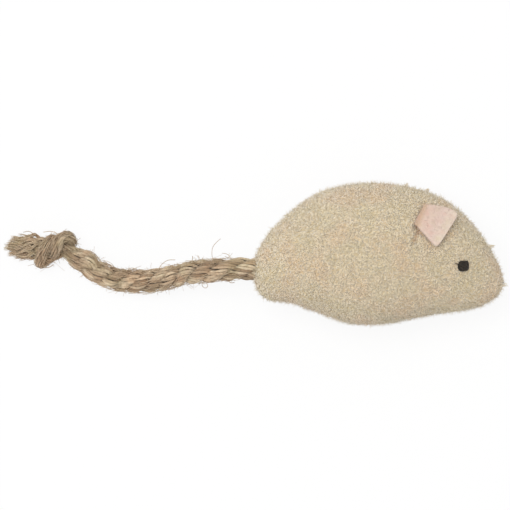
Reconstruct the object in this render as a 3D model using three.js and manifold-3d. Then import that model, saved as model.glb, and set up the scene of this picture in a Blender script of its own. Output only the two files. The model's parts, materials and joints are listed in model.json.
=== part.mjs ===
// Catnip mouse: two plush side panels sewn round a stuffing, felt ears, thread eyes and a knotted rope tail.
// Millimetres. The mouse lies on its left flank: +X runs to the nose, +Y to the back and +Z up.
// The pieces are modelled about the seam plane (z = 0), and the whole mouse is then lifted onto the table.

import * as THREE from 'three';
import { mergeVertices } from 'three/addons/utils/BufferGeometryUtils.js';
import Module from 'manifold-3d';

const wasm = await Module();
wasm.setup();

// Body
const bodyLength = 60;
const backHeight = 22.8; // from the spine line up to the crown of the back
const bellyDepth = 11.8; // from the spine line down to the fullest part of the belly
const flankDepth = 14; // from the seam plane out to the fullest part of a flank
const rearSpineHeight = -4.2; // the spine line's height at the rump
const noseSpineHeight = -6.7; // the spine line's height at the nose
const restFlat = 0.5; // how deep the left flank is pressed flat by the table

// Plush and its seam
const plushThickness = 1.8;
const seamAllowance = 4; // fabric turned in at the seam
const allowanceThickness = 1.2;
const panelGap = 0.3; // between the two panels at the seam
const clearance = 0.3; // between any other two pieces that meet

// Threads
const seamThreadDiameter = 0.5;
const seamStitchLength = 6;
const seamDepth = 3; // from the skin in to the seam's stitches
const closingGapLength = 17; // the turning gap on the belly, closed by hand
const closingGapMiddle = -3; // its middle, along the body
const closingRungs = 6;
const closingReach = 0.9; // how far the ladder stitch reaches into each panel
const closingDepth = 1.2; // from the skin in to the ladder stitch

// Filling
const fillingClearance = 0.35;
const pocketLength = 20; // the pocket in the stuffing that holds the catnip
const pocketHeight = 13;
const pocketWidth = 12;
const pocketPlace = -2; // its middle, along the body
const neckDiameter = 5; // the way that the catnip went in

// Ears: corners of the folded felt, seen square on to the flank: [back from the nose, down from the crown]
const earBaseBack = [19.6, 4.8];
const earBaseFront = [21.8, 9.7];
const earTipLow = [17.4, 14.2];
const earTipHigh = [11.8, 6.7];
const earThickness = 1;
const earLift = 0.35; // from the head to the felt
const earRollDiameter = 1.8; // the rolled base that the stitch runs through
const earThreadDiameter = 0.4;
const earBoreDiameter = 1;
const earStitchReach = 0.9; // how far the stitch goes past each end of the roll

// Eyes
const eyePlace = [10.7, 3.9]; // back from the nose, and up from the nose's end of the spine line
const eyeDiameter = 2.8;
const eyeHeight = 1.5;
const eyeThreadDiameter = 0.4;
const eyeThreadPull = 1.2; // how far the thread's middle lies behind the eyes

// Tail
const ropeDiameter = 5.6;
const tailRootHeight = -3.5;
const tailRootLength = 10.5; // the sewn-in end, from the rump inwards
const tailStitchPlace = 5.5; // from the rump in to the stitch through the rope
const tailStitchSpread = 4.6; // from the rope's middle out to the stitch through the allowances
const ropeDrawLength = 3; // the last stretch before the knot, where the rope draws in
const ropeDrawShare = 0.6; // how much of the way to the knot's strand it has drawn in there
const knotPlace = [-77.8, 1.5]; // the knot's middle
const knotHeight = 3.7; // its middle above the table
const knotStrandDiameter = 2.65; // the rope pulled tight in its knot
const tuftLength = 6.4;
const tuftDiameter = 6;

// Facets of the skins and the tubes
const outerSides = 36;
const outerRings = 22;
const innerSides = 24;
const innerRings = 16;
const outlinePoints = 96;
const searchSteps = 2000;
const tubeFrames = 400;
const ropeSides = 12;
const ropeRings = 20;

const ropeRadius = ropeDiameter / 2;
const allowanceTop = panelGap / 2 + allowanceThickness;
const lieHeight = flankDepth - restFlat; // the seam plane above the table

// Shares of the driving heights at nine even stations from the rump to the nose
const profile = (shares) => {
  const curve = new THREE.SplineCurve(shares.map((share, i) => new THREE.Vector2(i, share)));
  return (along) => curve.getPoint((along + 1) / 2).y;
};
const backProfile = profile([0.78, 0.88, 0.974, 0.987, 0.989, 0.996, 1, 0.912, 0.636]);
const bellyProfile = profile([1.44, 0.89, 0.88, 1, 0.975, 0.873, 0.814, 0.881, 0.966]);
const flankProfile = profile([1.16, 1.04, 1.02, 1.01, 1, 0.94, 0.885, 0.857, 0.857]);

// The skin is a unit sphere stretched to the body's sections, or to a like form set in from it
function section(along, inset) {
  const girth = Math.sqrt(Math.max(0, 1 - along * along));
  const up = backHeight * backProfile(along) - inset;
  const down = bellyDepth * bellyProfile(along) - inset;
  const spine = THREE.MathUtils.lerp(rearSpineHeight, noseSpineHeight, (along + 1) / 2);
  return {
    middle: spine + ((up - down) / 2) * girth,
    halfHeight: (up + down) / 2,
    halfWidth: flankDepth * flankProfile(along) - inset,
  };
}

function skinPoint(x, y, z, inset) {
  const { middle, halfHeight, halfWidth } = section(x, inset);
  return new THREE.Vector3((bodyLength / 2 - inset) * x, middle + halfHeight * y, halfWidth * z);
}

// Places in the seam plane of the ears' corners and the eyes
const fromCrown = ([back, down]) => [bodyLength / 2 - back, noseSpineHeight + backHeight - down];
const fromNose = ([back, up]) => [bodyLength / 2 - back, noseSpineHeight + up];

// The point of the right flank that lies over a place in the seam plane
function flankPoint([px, py], inset = 0) {
  const x = px / (bodyLength / 2 - inset);
  const { middle, halfHeight } = section(x, inset);
  const y = (py - middle) / halfHeight;
  return skinPoint(x, y, Math.sqrt(Math.max(0, 1 - x * x - y * y)), inset);
}

function flankNormal([px, py]) {
  const step = 0.05;
  const alongX = flankPoint([px + step, py]).sub(flankPoint([px - step, py]));
  const alongY = flankPoint([px, py + step]).sub(flankPoint([px, py - step]));
  return alongX.cross(alongY).normalize();
}

// Solids from geometries, and back
function solid(geometry) {
  const bare = geometry.clone();
  bare.deleteAttribute('normal');
  bare.deleteAttribute('uv');
  const merged = mergeVertices(bare, 1e-4);
  const vertProperties = new Float32Array(merged.attributes.position.array);
  const triVerts = new Uint32Array(merged.index.array);
  return new wasm.Manifold(new wasm.Mesh({ numProp: 3, vertProperties, triVerts }));
}

function geometryOf(manifold) {
  const { vertProperties, triVerts } = manifold.getMesh();
  const geometry = new THREE.BufferGeometry();
  geometry.setAttribute('position', new THREE.BufferAttribute(new Float32Array(vertProperties), 3));
  geometry.setIndex(new THREE.BufferAttribute(new Uint32Array(triVerts), 1));
  geometry.computeVertexNormals();
  return geometry;
}

function skinSolid(inset, around = innerSides, along = innerRings) {
  const sphere = new THREE.SphereGeometry(1, around, along).rotateZ(-Math.PI / 2);
  const position = sphere.attributes.position;
  for (let i = 0; i < position.count; i++) {
    const p = skinPoint(position.getX(i), position.getY(i), position.getZ(i), inset);
    position.setXYZ(i, p.x, p.y, p.z);
  }
  return solid(sphere);
}

function box(low, high) {
  const size = new THREE.Vector3().subVectors(high, low);
  const middle = new THREE.Vector3().addVectors(low, high).multiplyScalar(0.5);
  return solid(new THREE.BoxGeometry(size.x, size.y, size.z).translate(middle.x, middle.y, middle.z));
}

function slab(low, high) {
  const reach = bodyLength;
  return box(new THREE.Vector3(-reach, -reach, low), new THREE.Vector3(reach, reach, high));
}

function rod(start, end, diameter, sides = 10) {
  const along = new THREE.Vector3().subVectors(end, start);
  const geometry = new THREE.CylinderGeometry(diameter / 2, diameter / 2, along.length(), sides);
  const upright = new THREE.Vector3(0, 1, 0);
  const turn = new THREE.Quaternion().setFromUnitVectors(upright, along.clone().normalize());
  const middle = start.clone().add(end).multiplyScalar(0.5);
  return solid(geometry.applyQuaternion(turn).translate(middle.x, middle.y, middle.z));
}

// A tube of one diameter along a smooth curve through the points
function thread(points, diameter, stepsPerPoint, sides = 6) {
  const round = new THREE.Shape(
    Array.from({ length: sides }, (_, i) => {
      const turn = (i / sides) * 2 * Math.PI;
      return new THREE.Vector2(Math.cos(turn), Math.sin(turn)).multiplyScalar(diameter / 2);
    }),
  );
  const extrudePath = new THREE.CatmullRomCurve3(points);
  return solid(new THREE.ExtrudeGeometry(round, { extrudePath, steps: points.length * stepsPerPoint }));
}

// A tube whose radius changes along its curve: stations are [share of the curve's length, radius]
function taperedTube(curve, stations, sides) {
  const frames = curve.computeFrenetFrames(tubeFrames, false);
  const positions = [];
  for (const [share, radius] of stations) {
    const frame = Math.round(share * tubeFrames);
    const middle = curve.getPointAt(share);
    for (let i = 0; i < sides; i++) {
      const turn = (i / sides) * 2 * Math.PI;
      const p = middle
        .clone()
        .addScaledVector(frames.normals[frame], radius * Math.cos(turn))
        .addScaledVector(frames.binormals[frame], radius * Math.sin(turn));
      positions.push(p.x, p.y, p.z);
    }
  }
  const faces = [];
  for (let ring = 0; ring < stations.length - 1; ring++) {
    for (let i = 0; i < sides; i++) {
      const a = ring * sides + i;
      const b = ring * sides + ((i + 1) % sides);
      faces.push(a, b, a + sides, b, b + sides, a + sides);
    }
  }
  for (const [share, first, flip] of [[0, 0, true], [1, (stations.length - 1) * sides, false]]) {
    const middle = curve.getPointAt(share);
    const hub = positions.length / 3;
    positions.push(middle.x, middle.y, middle.z);
    for (let i = 0; i < sides; i++) {
      const a = first + i;
      const b = first + ((i + 1) % sides);
      faces.push(...(flip ? [hub, b, a] : [hub, a, b]));
    }
  }
  const geometry = new THREE.BufferGeometry();
  geometry.setAttribute('position', new THREE.Float32BufferAttribute(positions, 3));
  geometry.setIndex(faces);
  return geometry;
}

// Materials
const finish = (color, roughness) => new THREE.MeshStandardMaterial({ color, roughness, metalness: 0 });
const plush = finish('#c9b89c', 0.95);
const felt = finish('#dfc8b9', 0.9);
const blackThread = finish('#39322a', 0.8);
const paleThread = finish('#d8ccb4', 0.85);
const jute = finish('#a79073', 0.95);
const fibre = finish('#efece4', 0.95);
const leaf = finish('#7d8453', 0.95);

const mouse = new THREE.Group();
mouse.position.z = lieHeight;

function addPiece(name, manifold, material) {
  const mesh = new THREE.Mesh(geometryOf(manifold), material);
  mesh.name = name;
  mouse.add(mesh);
  return mesh;
}

// A piece of the left side mirrors its twin in the seam plane
const mirrored = (manifold) => manifold.mirror([0, 0, 1]);

// Seam line: the body's outline in the seam plane, at a depth under the skin
function outline(inset) {
  const points = Array.from({ length: outlinePoints }, (_, i) => {
    const turn = (i / outlinePoints) * 2 * Math.PI;
    return skinPoint(Math.cos(turn), Math.sin(turn), 0, inset);
  });
  return new THREE.CatmullRomCurve3(points, true);
}

// The share of a closed outline at which a test first holds, going round from the nose over the back
function shareWhere(curve, holds) {
  for (let i = 0; i <= searchSteps; i++) {
    const share = i / searchSteps;
    if (holds(curve.getPointAt(share), share)) return share;
  }
  return 1;
}

const seamLine = outline(seamDepth);
const seamThreadHeight = allowanceTop + clearance + seamThreadDiameter;
const ropeBridge = ropeRadius + clearance + seamThreadDiameter / 2;
const stitchHole = seamThreadDiameter + 2 * clearance;
const ropeGap = ropeRadius + stitchHole;
const closingRear = closingGapMiddle - closingGapLength / 2;
const closingFront = closingGapMiddle + closingGapLength / 2;

// Where the running stitch stops and starts: above and below the rope, and at each end of the turning gap
const aboveRope = shareWhere(seamLine, (p) => p.x < 0 && p.y < tailRootHeight + ropeGap);
const belowRope = shareWhere(seamLine, (p) => p.x < 0 && p.y < tailRootHeight - ropeGap);
const gapRear = shareWhere(seamLine, (p, share) => share > belowRope && p.x > closingRear);
const gapFront = shareWhere(seamLine, (p, share) => share > belowRope && p.x > closingFront);

// Even stitches from one share of the seam line to another
function stitchPlaces(from, to) {
  const count = Math.max(2, Math.round(((to - from) * seamLine.getLength()) / seamStitchLength));
  return Array.from({ length: count + 1 }, (_, i) => from + ((to - from) * i) / count);
}

const stitchRuns = [stitchPlaces(gapFront - 1, aboveRope), stitchPlaces(belowRope, gapRear)];
const stitchShares = stitchRuns.flat();
const seamPlace = (share) => seamLine.getPointAt((share + 1) % 1);

function seamThread() {
  const points = [];
  stitchShares.forEach((share, i) => {
    const side = i % 2 ? -1 : 1;
    const place = seamPlace(share);
    points.push(new THREE.Vector3(place.x, place.y, side * allowanceTop));
    points.push(new THREE.Vector3(place.x, place.y, -side * allowanceTop));
    if (i === stitchShares.length - 1) return;
    const next = stitchShares[i + 1];
    const overRope = i === stitchRuns[0].length - 1;
    const height = overRope ? ropeBridge : seamThreadHeight;
    const between = seamPlace((share + next) / 2);
    points.push(new THREE.Vector3(between.x, between.y, -side * height));
  });
  return thread(points, seamThreadDiameter, 2, 4);
}

function seamHoles(panel) {
  return stitchShares.reduce((cut, share) => {
    const place = seamPlace(share);
    const reach = allowanceTop + stitchHole;
    const low = new THREE.Vector3(place.x, place.y, -reach);
    const high = new THREE.Vector3(place.x, place.y, reach);
    return cut.subtract(rod(low, high, stitchHole, 6));
  }, panel);
}

// Ladder stitch: the thread crosses the turning gap at each rung and runs inside a fold between rungs
const closingLine = outline(closingDepth);
function ladderPoints() {
  const points = [];
  for (let rung = 0; rung < closingRungs; rung++) {
    const along = closingRear + (closingGapLength * (rung + 0.5)) / closingRungs;
    const share = shareWhere(closingLine, (p, at) => at > 0.5 && p.x > along);
    const place = closingLine.getPointAt(share);
    const side = rung % 2 ? 1 : -1;
    for (const reach of [side, 0, -side]) {
      points.push(new THREE.Vector3(place.x, place.y, reach * closingReach));
    }
  }
  return points;
}
const ladder = ladderPoints();

// Hinge line of the right ear: the middle of its rolled base, over the two base corners
const earHeight = -(earLift + earThickness / 2);
const earCorners = [earBaseBack, earBaseFront, earTipLow, earTipHigh].map(fromCrown);
const [baseBack, baseFront] = earCorners;
const earHingeBack = flankPoint(baseBack, earHeight);
const earHingeFront = flankPoint(baseFront, earHeight);
const earAxis = earHingeFront.clone().sub(earHingeBack).normalize();
const earRollRadius = earRollDiameter / 2;

function earStitchEnds() {
  return [
    { at: earHingeBack.clone().addScaledVector(earAxis, -earStitchReach), normal: flankNormal(baseBack) },
    { at: earHingeFront.clone().addScaledVector(earAxis, earStitchReach), normal: flankNormal(baseFront) },
  ];
}

const earLegLength = earLift + earThickness / 2 + plushThickness;

function earStitch() {
  const [back, front] = earStitchEnds();
  const bend = earThreadDiameter;
  const points = [
    back.at.clone().addScaledVector(back.normal, -earLegLength),
    back.at.clone().addScaledVector(back.normal, -bend),
    back.at.clone().addScaledVector(earAxis, bend),
    earHingeBack.clone().lerp(earHingeFront, 0.5),
    front.at.clone().addScaledVector(earAxis, -bend),
    front.at.clone().addScaledVector(front.normal, -bend),
    front.at.clone().addScaledVector(front.normal, -earLegLength),
  ];
  return thread(points, earThreadDiameter, 4, 5);
}

function ear() {
  const shape = new THREE.Shape(earCorners.map(([x, y]) => new THREE.Vector2(x, y)));
  const prism = solid(new THREE.ExtrudeGeometry(shape, { depth: 2 * flankDepth, bevelEnabled: false }));
  const feltTop = skinSolid(-(earLift + earThickness), outerSides, outerRings);
  const felted = feltTop.subtract(skinSolid(-earLift, outerSides, outerRings));
  const roll = rod(earHingeBack, earHingeFront, earRollDiameter, 12);
  const boreStart = earHingeBack.clone().addScaledVector(earAxis, -earRollDiameter);
  const boreEnd = earHingeFront.clone().addScaledVector(earAxis, earRollDiameter);
  return felted.intersect(prism).add(roll).subtract(rod(boreStart, boreEnd, earBoreDiameter, 8));
}

// The dart in the panel that takes the ear's rolled base and its stitch
function earDart(panel) {
  const [back, front] = earStitchEnds();
  const reach = earThreadDiameter + clearance;
  const start = back.at.clone().addScaledVector(earAxis, -reach);
  const end = front.at.clone().addScaledVector(earAxis, reach);
  let cut = panel.subtract(rod(start, end, earRollDiameter + 2 * clearance, 12));
  for (const { at, normal } of [back, front]) {
    const top = at.clone().addScaledVector(normal, plushThickness);
    const bottom = at.clone().addScaledVector(normal, -(earLegLength + plushThickness));
    cut = cut.subtract(rod(top, bottom, earThreadDiameter + 2 * clearance, 8));
  }
  return cut;
}

// Eyes: a wound knot, with the thread going up into its middle from below
const eyeSeat = flankPoint(fromNose(eyePlace));
const eyeNormal = flankNormal(fromNose(eyePlace));
const eyeBore = eyeThreadDiameter + 2 * clearance;
const eyeThreadTop = eyeHeight / 2; // above the skin

function eye() {
  const outer = eyeDiameter / 2;
  const inner = eyeBore / 2;
  const knot = new THREE.LatheGeometry(
    [
      [0, eyeThreadTop],
      [inner, eyeThreadTop],
      [inner, 0],
      [outer * 0.75, 0],
      [outer, eyeHeight * 0.3],
      [outer * 0.95, eyeHeight * 0.6],
      [outer * 0.7, eyeHeight * 0.9],
      [0, eyeHeight],
    ].map(([radius, height]) => new THREE.Vector2(radius, height)),
    14,
  );
  const turn = new THREE.Quaternion().setFromUnitVectors(new THREE.Vector3(0, 1, 0), eyeNormal);
  const seat = eyeSeat.clone().addScaledVector(eyeNormal, clearance);
  return solid(knot.applyQuaternion(turn).translate(seat.x, seat.y, seat.z));
}

function eyeThreadPoints() {
  const right = [eyeThreadTop, -plushThickness / 2, -plushThickness * 2].map((height) =>
    eyeSeat.clone().addScaledVector(eyeNormal, height),
  );
  const left = right.map((p) => new THREE.Vector3(p.x, p.y, -p.z)).reverse();
  const pulled = right[2].x - eyeThreadPull;
  return [...right, new THREE.Vector3(pulled, eyeSeat.y, 0), ...left];
}

// Tail root: the rope's end between the panels at the rump
const rump = -bodyLength / 2;
const rootFace = new THREE.Vector3(rump - clearance, tailRootHeight, 0);
const rootEnd = new THREE.Vector3(rump + tailRootLength, tailRootHeight, 0);
const tailPivot = new THREE.Vector3(rootFace.x - clearance - ropeRadius, tailRootHeight, 0);
const tailStitchX = rump + tailStitchPlace;

function tailStitchPoints() {
  const over = ropeRadius + clearance + seamThreadDiameter / 2;
  const caught = allowanceTop + clearance + seamThreadDiameter / 2;
  return [
    [tailStitchSpread, -caught],
    [tailStitchSpread, 0],
    [tailStitchSpread, caught],
    [tailStitchSpread / 2, over],
    [0, over],
    [0, 0],
    [0, -over],
    [-tailStitchSpread / 2, -over],
    [-tailStitchSpread, -caught],
    [-tailStitchSpread, 0],
    [-tailStitchSpread, caught],
  ].map(([y, z]) => new THREE.Vector3(tailStitchX, tailRootHeight + y, z));
}

function tailStitchHoles(piece, spread) {
  return spread.reduce((cut, y) => {
    const low = new THREE.Vector3(tailStitchX, tailRootHeight + y, -ropeRadius - clearance);
    const high = new THREE.Vector3(tailStitchX, tailRootHeight + y, ropeRadius + clearance);
    return cut.subtract(rod(low, high, stitchHole, 8));
  }, piece);
}

// Panels: a plush shell with its seam allowance turned in at the seam
function rightPanel() {
  const skin = skinSolid(0, outerSides, outerRings);
  const half = slab(panelGap / 2, 2 * flankDepth);
  const turnedIn = skinSolid(plushThickness / 2).subtract(skinSolid(plushThickness + seamAllowance));
  let panel = skin
    .subtract(skinSolid(plushThickness))
    .intersect(half)
    .add(turnedIn.intersect(slab(panelGap / 2, allowanceTop)));
  panel = seamHoles(panel);
  panel = tailStitchHoles(panel, [-tailStitchSpread, tailStitchSpread]);
  panel = panel.subtract(rod(rootFace.clone().setX(2 * rump), rootEnd, ropeDiameter + 2 * clearance, 16));
  panel = panel.subtract(rod(
    eyeSeat.clone().addScaledVector(eyeNormal, plushThickness),
    eyeSeat.clone().addScaledVector(eyeNormal, -2 * plushThickness),
    eyeBore,
    8,
  ));
  return earDart(panel);
}

const closingCut = thread(ladder, stitchHole, 2);
const wholePanel = rightPanel();
addPiece('right_panel', wholePanel.subtract(closingCut), plush);
addPiece('left_panel', mirrored(wholePanel).subtract(closingCut).intersect(slab(-lieHeight, 0)), plush);

// Stuffing: it fills the panels, with a groove for the seam and a pocket for the catnip
const grooveTop = seamThreadHeight + seamThreadDiameter / 2 + 2 * clearance;
const pocketMiddle = new THREE.Vector3(pocketPlace, 0, 0);
function pocketSolid(less) {
  const ball = new THREE.SphereGeometry(1, 20, 14);
  ball.scale(pocketLength / 2 - less, pocketHeight / 2 - less, pocketWidth / 2 - less);
  return solid(ball.translate(pocketMiddle.x, pocketMiddle.y, pocketMiddle.z));
}

function filling() {
  const insideSeam = skinSolid(plushThickness + seamAllowance + fillingClearance);
  const groove = slab(-grooveTop, grooveTop).subtract(insideSeam);
  const neck = rod(pocketMiddle, pocketMiddle.clone().setY(-2 * bellyDepth), neckDiameter, 12);
  const rootSpace = rod(
    rootFace,
    rootEnd.clone().setX(rootEnd.x + clearance),
    2 * (ropeRadius + 2 * clearance + seamThreadDiameter),
    16,
  );
  return skinSolid(plushThickness + fillingClearance)
    .subtract(groove)
    .subtract(pocketSolid(0))
    .subtract(neck)
    .subtract(rootSpace)
    .subtract(thread(tailStitchPoints(), stitchHole, 2))
    .subtract(thread(eyeThreadPoints(), eyeBore, 2));
}

addPiece('fibre_filling', filling(), fibre);
addPiece('dried_catnip', pocketSolid(clearance), leaf);
addPiece('seam_thread', seamThread(), paleThread);
addPiece('closing_thread', thread(ladder, seamThreadDiameter, 2), paleThread);
addPiece('tail_root', tailStitchHoles(rod(rootFace, rootEnd, ropeDiameter, 12), [0]), jute);
addPiece('tail_stitch', thread(tailStitchPoints(), seamThreadDiameter, 3, 5), paleThread);

const rightEye = eye();
addPiece('right_eye', rightEye, blackThread);
addPiece('left_eye', mirrored(rightEye), blackThread);
addPiece('eye_thread', thread(eyeThreadPoints(), eyeThreadDiameter, 4), blackThread);

const rightEar = ear();
const rightEarStitch = earStitch();
addPiece('right_ear', rightEar, felt);
addPiece('left_ear', mirrored(rightEar), felt);
addPiece('right_ear_stitch', rightEarStitch, paleThread);
addPiece('left_ear_stitch', mirrored(rightEarStitch), paleThread);

// Overhand knot, from the rope to the frayed end: [x, y, depth] about its middle
const knotMiddle = new THREE.Vector3(...knotPlace, knotHeight - lieHeight);
const knotTurns = [
  [7.0, -4.0, 0.4],
  [3.4, -2.0, 1.8],
  [1.1, 0.9, -1.8],
  [-0.9, 3.1, -2.2],
  [-3.2, 3.3, -0.6],
  [-4.5, 1.7, 1.4],
  [-3.9, -0.7, 2.0],
  [-2.2, -3.1, 1.3],
  [0.5, -3.8, -0.5],
  [3.1, -2.8, -1.9],
  [5.0, -0.2, -1.9],
  [4.8, 2.6, -0.3],
  [2.9, 3.3, 1.6],
  [0.4, 2.0, 2.0],
  [-1.5, 0.5, 0.1],
  [-3.6, -0.3, -1.5],
  [-6.8, 0.2, -0.6],
].map(([x, y, z]) => new THREE.Vector3(x, y, z).add(knotMiddle));
const knotCurve = new THREE.CatmullRomCurve3(knotTurns);

// Tail route, from the pivot to the knot: [x, y, height over the table] of the rope's middle
const tailRoute = [
  [-36.6, -3.7, 13.1],
  [-39.6, -4.0, 12.2],
  [-42.5, -4.2, 11.0],
  [-45.4, -4.6, 9.6],
  [-48.4, -5.3, 8.1],
  [-51.4, -6.0, 6.7],
  [-54.4, -6.5, 5.4],
  [-57.3, -6.7, 4.4],
  [-60.2, -6.6, 3.6],
  [-63.1, -6.1, 3.1],
  [-66.0, -5.1, 3.0],
  [-68.4, -3.9, 3.3],
].map(([x, y, height]) => new THREE.Vector3(x, y, height - lieHeight));

// Rings of the rounded end at the pivot, in shares of the rope's radius
const ballShares = [0.03, 0.25, 0.6, 1];

function tailRope() {
  const ballFront = tailPivot.clone().setX(tailPivot.x + ropeRadius);
  const meetsKnot = knotTurns[0].clone().addScaledVector(knotCurve.getTangentAt(0), -clearance);
  const curve = new THREE.CatmullRomCurve3([ballFront, tailPivot, ...tailRoute, meetsKnot]);
  const length = curve.getLength();
  const stations = ballShares.map((share) => {
    const back = 1 - share;
    return [(share * ropeRadius) / length, ropeRadius * Math.sqrt(1 - back * back)];
  });
  stations[0][0] = 0;
  for (let i = 1; i <= ropeRings; i++) {
    const share = THREE.MathUtils.lerp(ropeRadius / length, 1 - ropeDrawLength / length, i / ropeRings);
    stations.push([share, ropeRadius]);
  }
  stations.push([1, THREE.MathUtils.lerp(ropeRadius, knotStrandDiameter / 2, ropeDrawShare)]);
  return solid(taperedTube(curve, stations, ropeSides));
}

// The least gap between two stretches of a tube that lie at least two diameters apart along it
function leastGap(curve, diameter) {
  const points = curve.getSpacedPoints(tubeFrames);
  const apart = Math.ceil((2 * diameter * tubeFrames) / curve.getLength());
  let least = Infinity;
  points.forEach((p, i) => {
    for (const q of points.slice(i + apart)) least = Math.min(least, p.distanceTo(q));
  });
  return least - diameter;
}
console.log(`tail_knot: least gap to itself ${leastGap(knotCurve, knotStrandDiameter).toFixed(2)} mm`);

function tuft() {
  const start = knotTurns.at(-1);
  const away = knotCurve.getTangentAt(1);
  const profilePoints = [
    [0, 0],
    [knotStrandDiameter * 0.5, 0],
    [tuftDiameter * 0.42, tuftLength * 0.3],
    [tuftDiameter * 0.5, tuftLength * 0.62],
    [tuftDiameter * 0.46, tuftLength * 0.9],
    [tuftDiameter * 0.3, tuftLength],
    [0, tuftLength * 0.94],
  ].map(([radius, height]) => new THREE.Vector2(radius, height));
  const turn = new THREE.Quaternion().setFromUnitVectors(new THREE.Vector3(0, 1, 0), away);
  const from = start.clone().addScaledVector(away, clearance);
  const brush = new THREE.LatheGeometry(profilePoints, 14);
  return solid(brush.applyQuaternion(turn).translate(from.x, from.y, from.z));
}

addPiece('tail_rope', tailRope(), jute);
addPiece('tail_knot', thread(knotTurns, knotStrandDiameter, 4, 8), jute);
addPiece('tail_tuft', tuft(), jute);

// The lines that the ears and the tail turn about, lifted with the mouse
const lifted = (p) => p.clone().setZ(p.z + lieHeight).toArray();
mouse.userData.hinges = {
  right_ear_flap: { point: lifted(earHingeBack.clone().lerp(earHingeFront, 0.5)), axis: earAxis.toArray() },
  tail_swing: { point: lifted(tailPivot), axis: [0, 0, 1] },
};

export default mouse;
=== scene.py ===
# %% [markdown]
# # A catnip mouse, in plush, felt, thread and rope
# This lesson dresses a small stuffed cat toy. The construction comes in as a fixed frame: every panel,
# stitch and hinge is already where it belongs, in metres, with the mouse lying on its left flank. What is
# missing is how it looks, and on a soft toy that is nearly everything: a skin that swells between its seams,
# a short curly pile, a rope with its lay and its stray fibres.

# %% Load the frame
import json

import bmesh
import bpy
import numpy as np
from mathutils import Matrix, Vector, noise
from mathutils.kdtree import KDTree

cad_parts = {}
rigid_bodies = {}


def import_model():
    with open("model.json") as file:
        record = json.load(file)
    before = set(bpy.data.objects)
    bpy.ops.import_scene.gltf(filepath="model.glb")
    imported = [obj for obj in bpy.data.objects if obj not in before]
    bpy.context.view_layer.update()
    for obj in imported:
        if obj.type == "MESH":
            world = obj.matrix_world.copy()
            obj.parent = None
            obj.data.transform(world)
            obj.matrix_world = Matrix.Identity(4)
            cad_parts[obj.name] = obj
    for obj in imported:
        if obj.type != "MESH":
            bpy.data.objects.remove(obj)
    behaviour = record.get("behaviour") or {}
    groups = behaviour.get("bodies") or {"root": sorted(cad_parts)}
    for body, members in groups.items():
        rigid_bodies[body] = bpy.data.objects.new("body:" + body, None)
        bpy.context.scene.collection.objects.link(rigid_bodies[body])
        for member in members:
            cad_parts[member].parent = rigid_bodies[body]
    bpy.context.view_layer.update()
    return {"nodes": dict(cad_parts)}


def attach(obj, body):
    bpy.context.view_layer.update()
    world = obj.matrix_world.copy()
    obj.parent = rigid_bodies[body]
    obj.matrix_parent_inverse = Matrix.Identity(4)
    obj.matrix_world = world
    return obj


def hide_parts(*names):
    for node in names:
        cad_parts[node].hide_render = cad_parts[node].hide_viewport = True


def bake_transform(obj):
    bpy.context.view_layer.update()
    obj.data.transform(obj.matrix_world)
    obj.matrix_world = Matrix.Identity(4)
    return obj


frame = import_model()
MM = 0.001
scene = bpy.context.scene

# %% [markdown]
# ## The camera
# The toy was photographed as a flat lay, straight from above, with a long lens. A camera that looks straight
# down needs no turning in Blender, because an unturned camera looks along -Z with +Y up. The distance
# follows from the lens: the frame has to be as wide as the photograph is at the height of the seam.

# %% Camera
SEAM_HEIGHT = 13.5 * MM
FRAME_WIDTH = 121.4 * MM
FRAME_MIDDLE = (-29.3 * MM, -0.24 * MM)
LENS = 135
SENSOR_WIDTH = 36


def new_object(name, data):
    """An object at the origin, put in the scene."""
    made = bpy.data.objects.new(name, data)
    scene.collection.objects.link(made)
    return made


camera_data = bpy.data.cameras.new("camera")
camera_data.lens = LENS
camera_data.sensor_width = SENSOR_WIDTH
camera_data.clip_start = 0.01
camera_data.clip_end = 10
camera_distance = FRAME_WIDTH * LENS / SENSOR_WIDTH
camera = new_object("camera", camera_data)
camera.location = (*FRAME_MIDDLE, SEAM_HEIGHT + camera_distance)
scene.camera = camera
print("camera: %.0f mm above the seam" % (camera_distance / MM))

# %% [markdown]
# ## The stage
# A white floor and soft light from all round. A floor that is only white still renders a little grey, so the
# camera sees some light of the floor's own as well, and the floor keeps a faint shadow under the toy. The
# big panel hangs near the camera and leans to the back of the mouse, which leaves the belly side a little
# darker.

# %% Floor
FLOOR_SIZE = 4.0
FLOOR_GREY = 0.9
FLOOR_OWN_LIGHT = 0.88
scene.view_settings.view_transform = "Standard"


def mesh_of(bm, name):
    """A smooth mesh of what a bmesh holds, which is then freed."""
    mesh = bpy.data.meshes.new(name)
    bm.to_mesh(mesh)
    bm.free()
    mesh.shade_smooth()
    return mesh


def new_material(name):
    material = bpy.data.materials.new(name)
    material.use_nodes = True
    material.node_tree.nodes.clear()
    return material


def floor_material():
    material = new_material("white_floor")
    nodes = material.node_tree.nodes
    link = material.node_tree.links.new
    seen = nodes.new("ShaderNodeLightPath")
    paint = nodes.new("ShaderNodeBsdfDiffuse")
    paint.inputs["Color"].default_value = (FLOOR_GREY, FLOOR_GREY, FLOOR_GREY, 1)
    glow = nodes.new("ShaderNodeEmission")
    share = nodes.new("ShaderNodeMath")
    share.operation = "MULTIPLY"
    share.inputs[1].default_value = FLOOR_OWN_LIGHT
    mix = nodes.new("ShaderNodeMixShader")
    out = nodes.new("ShaderNodeOutputMaterial")
    link(seen.outputs["Is Camera Ray"], share.inputs[0])
    link(share.outputs[0], mix.inputs["Fac"])
    link(paint.outputs[0], mix.inputs[1])
    link(glow.outputs[0], mix.inputs[2])
    link(mix.outputs[0], out.inputs["Surface"])
    return material


bm = bmesh.new()
bmesh.ops.create_grid(bm, x_segments=1, y_segments=1, size=FLOOR_SIZE / 2)
floor = new_object("floor", mesh_of(bm, "floor"))
floor.data.materials.append(floor_material())
print("floor: %.0f m wide" % FLOOR_SIZE)

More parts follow.
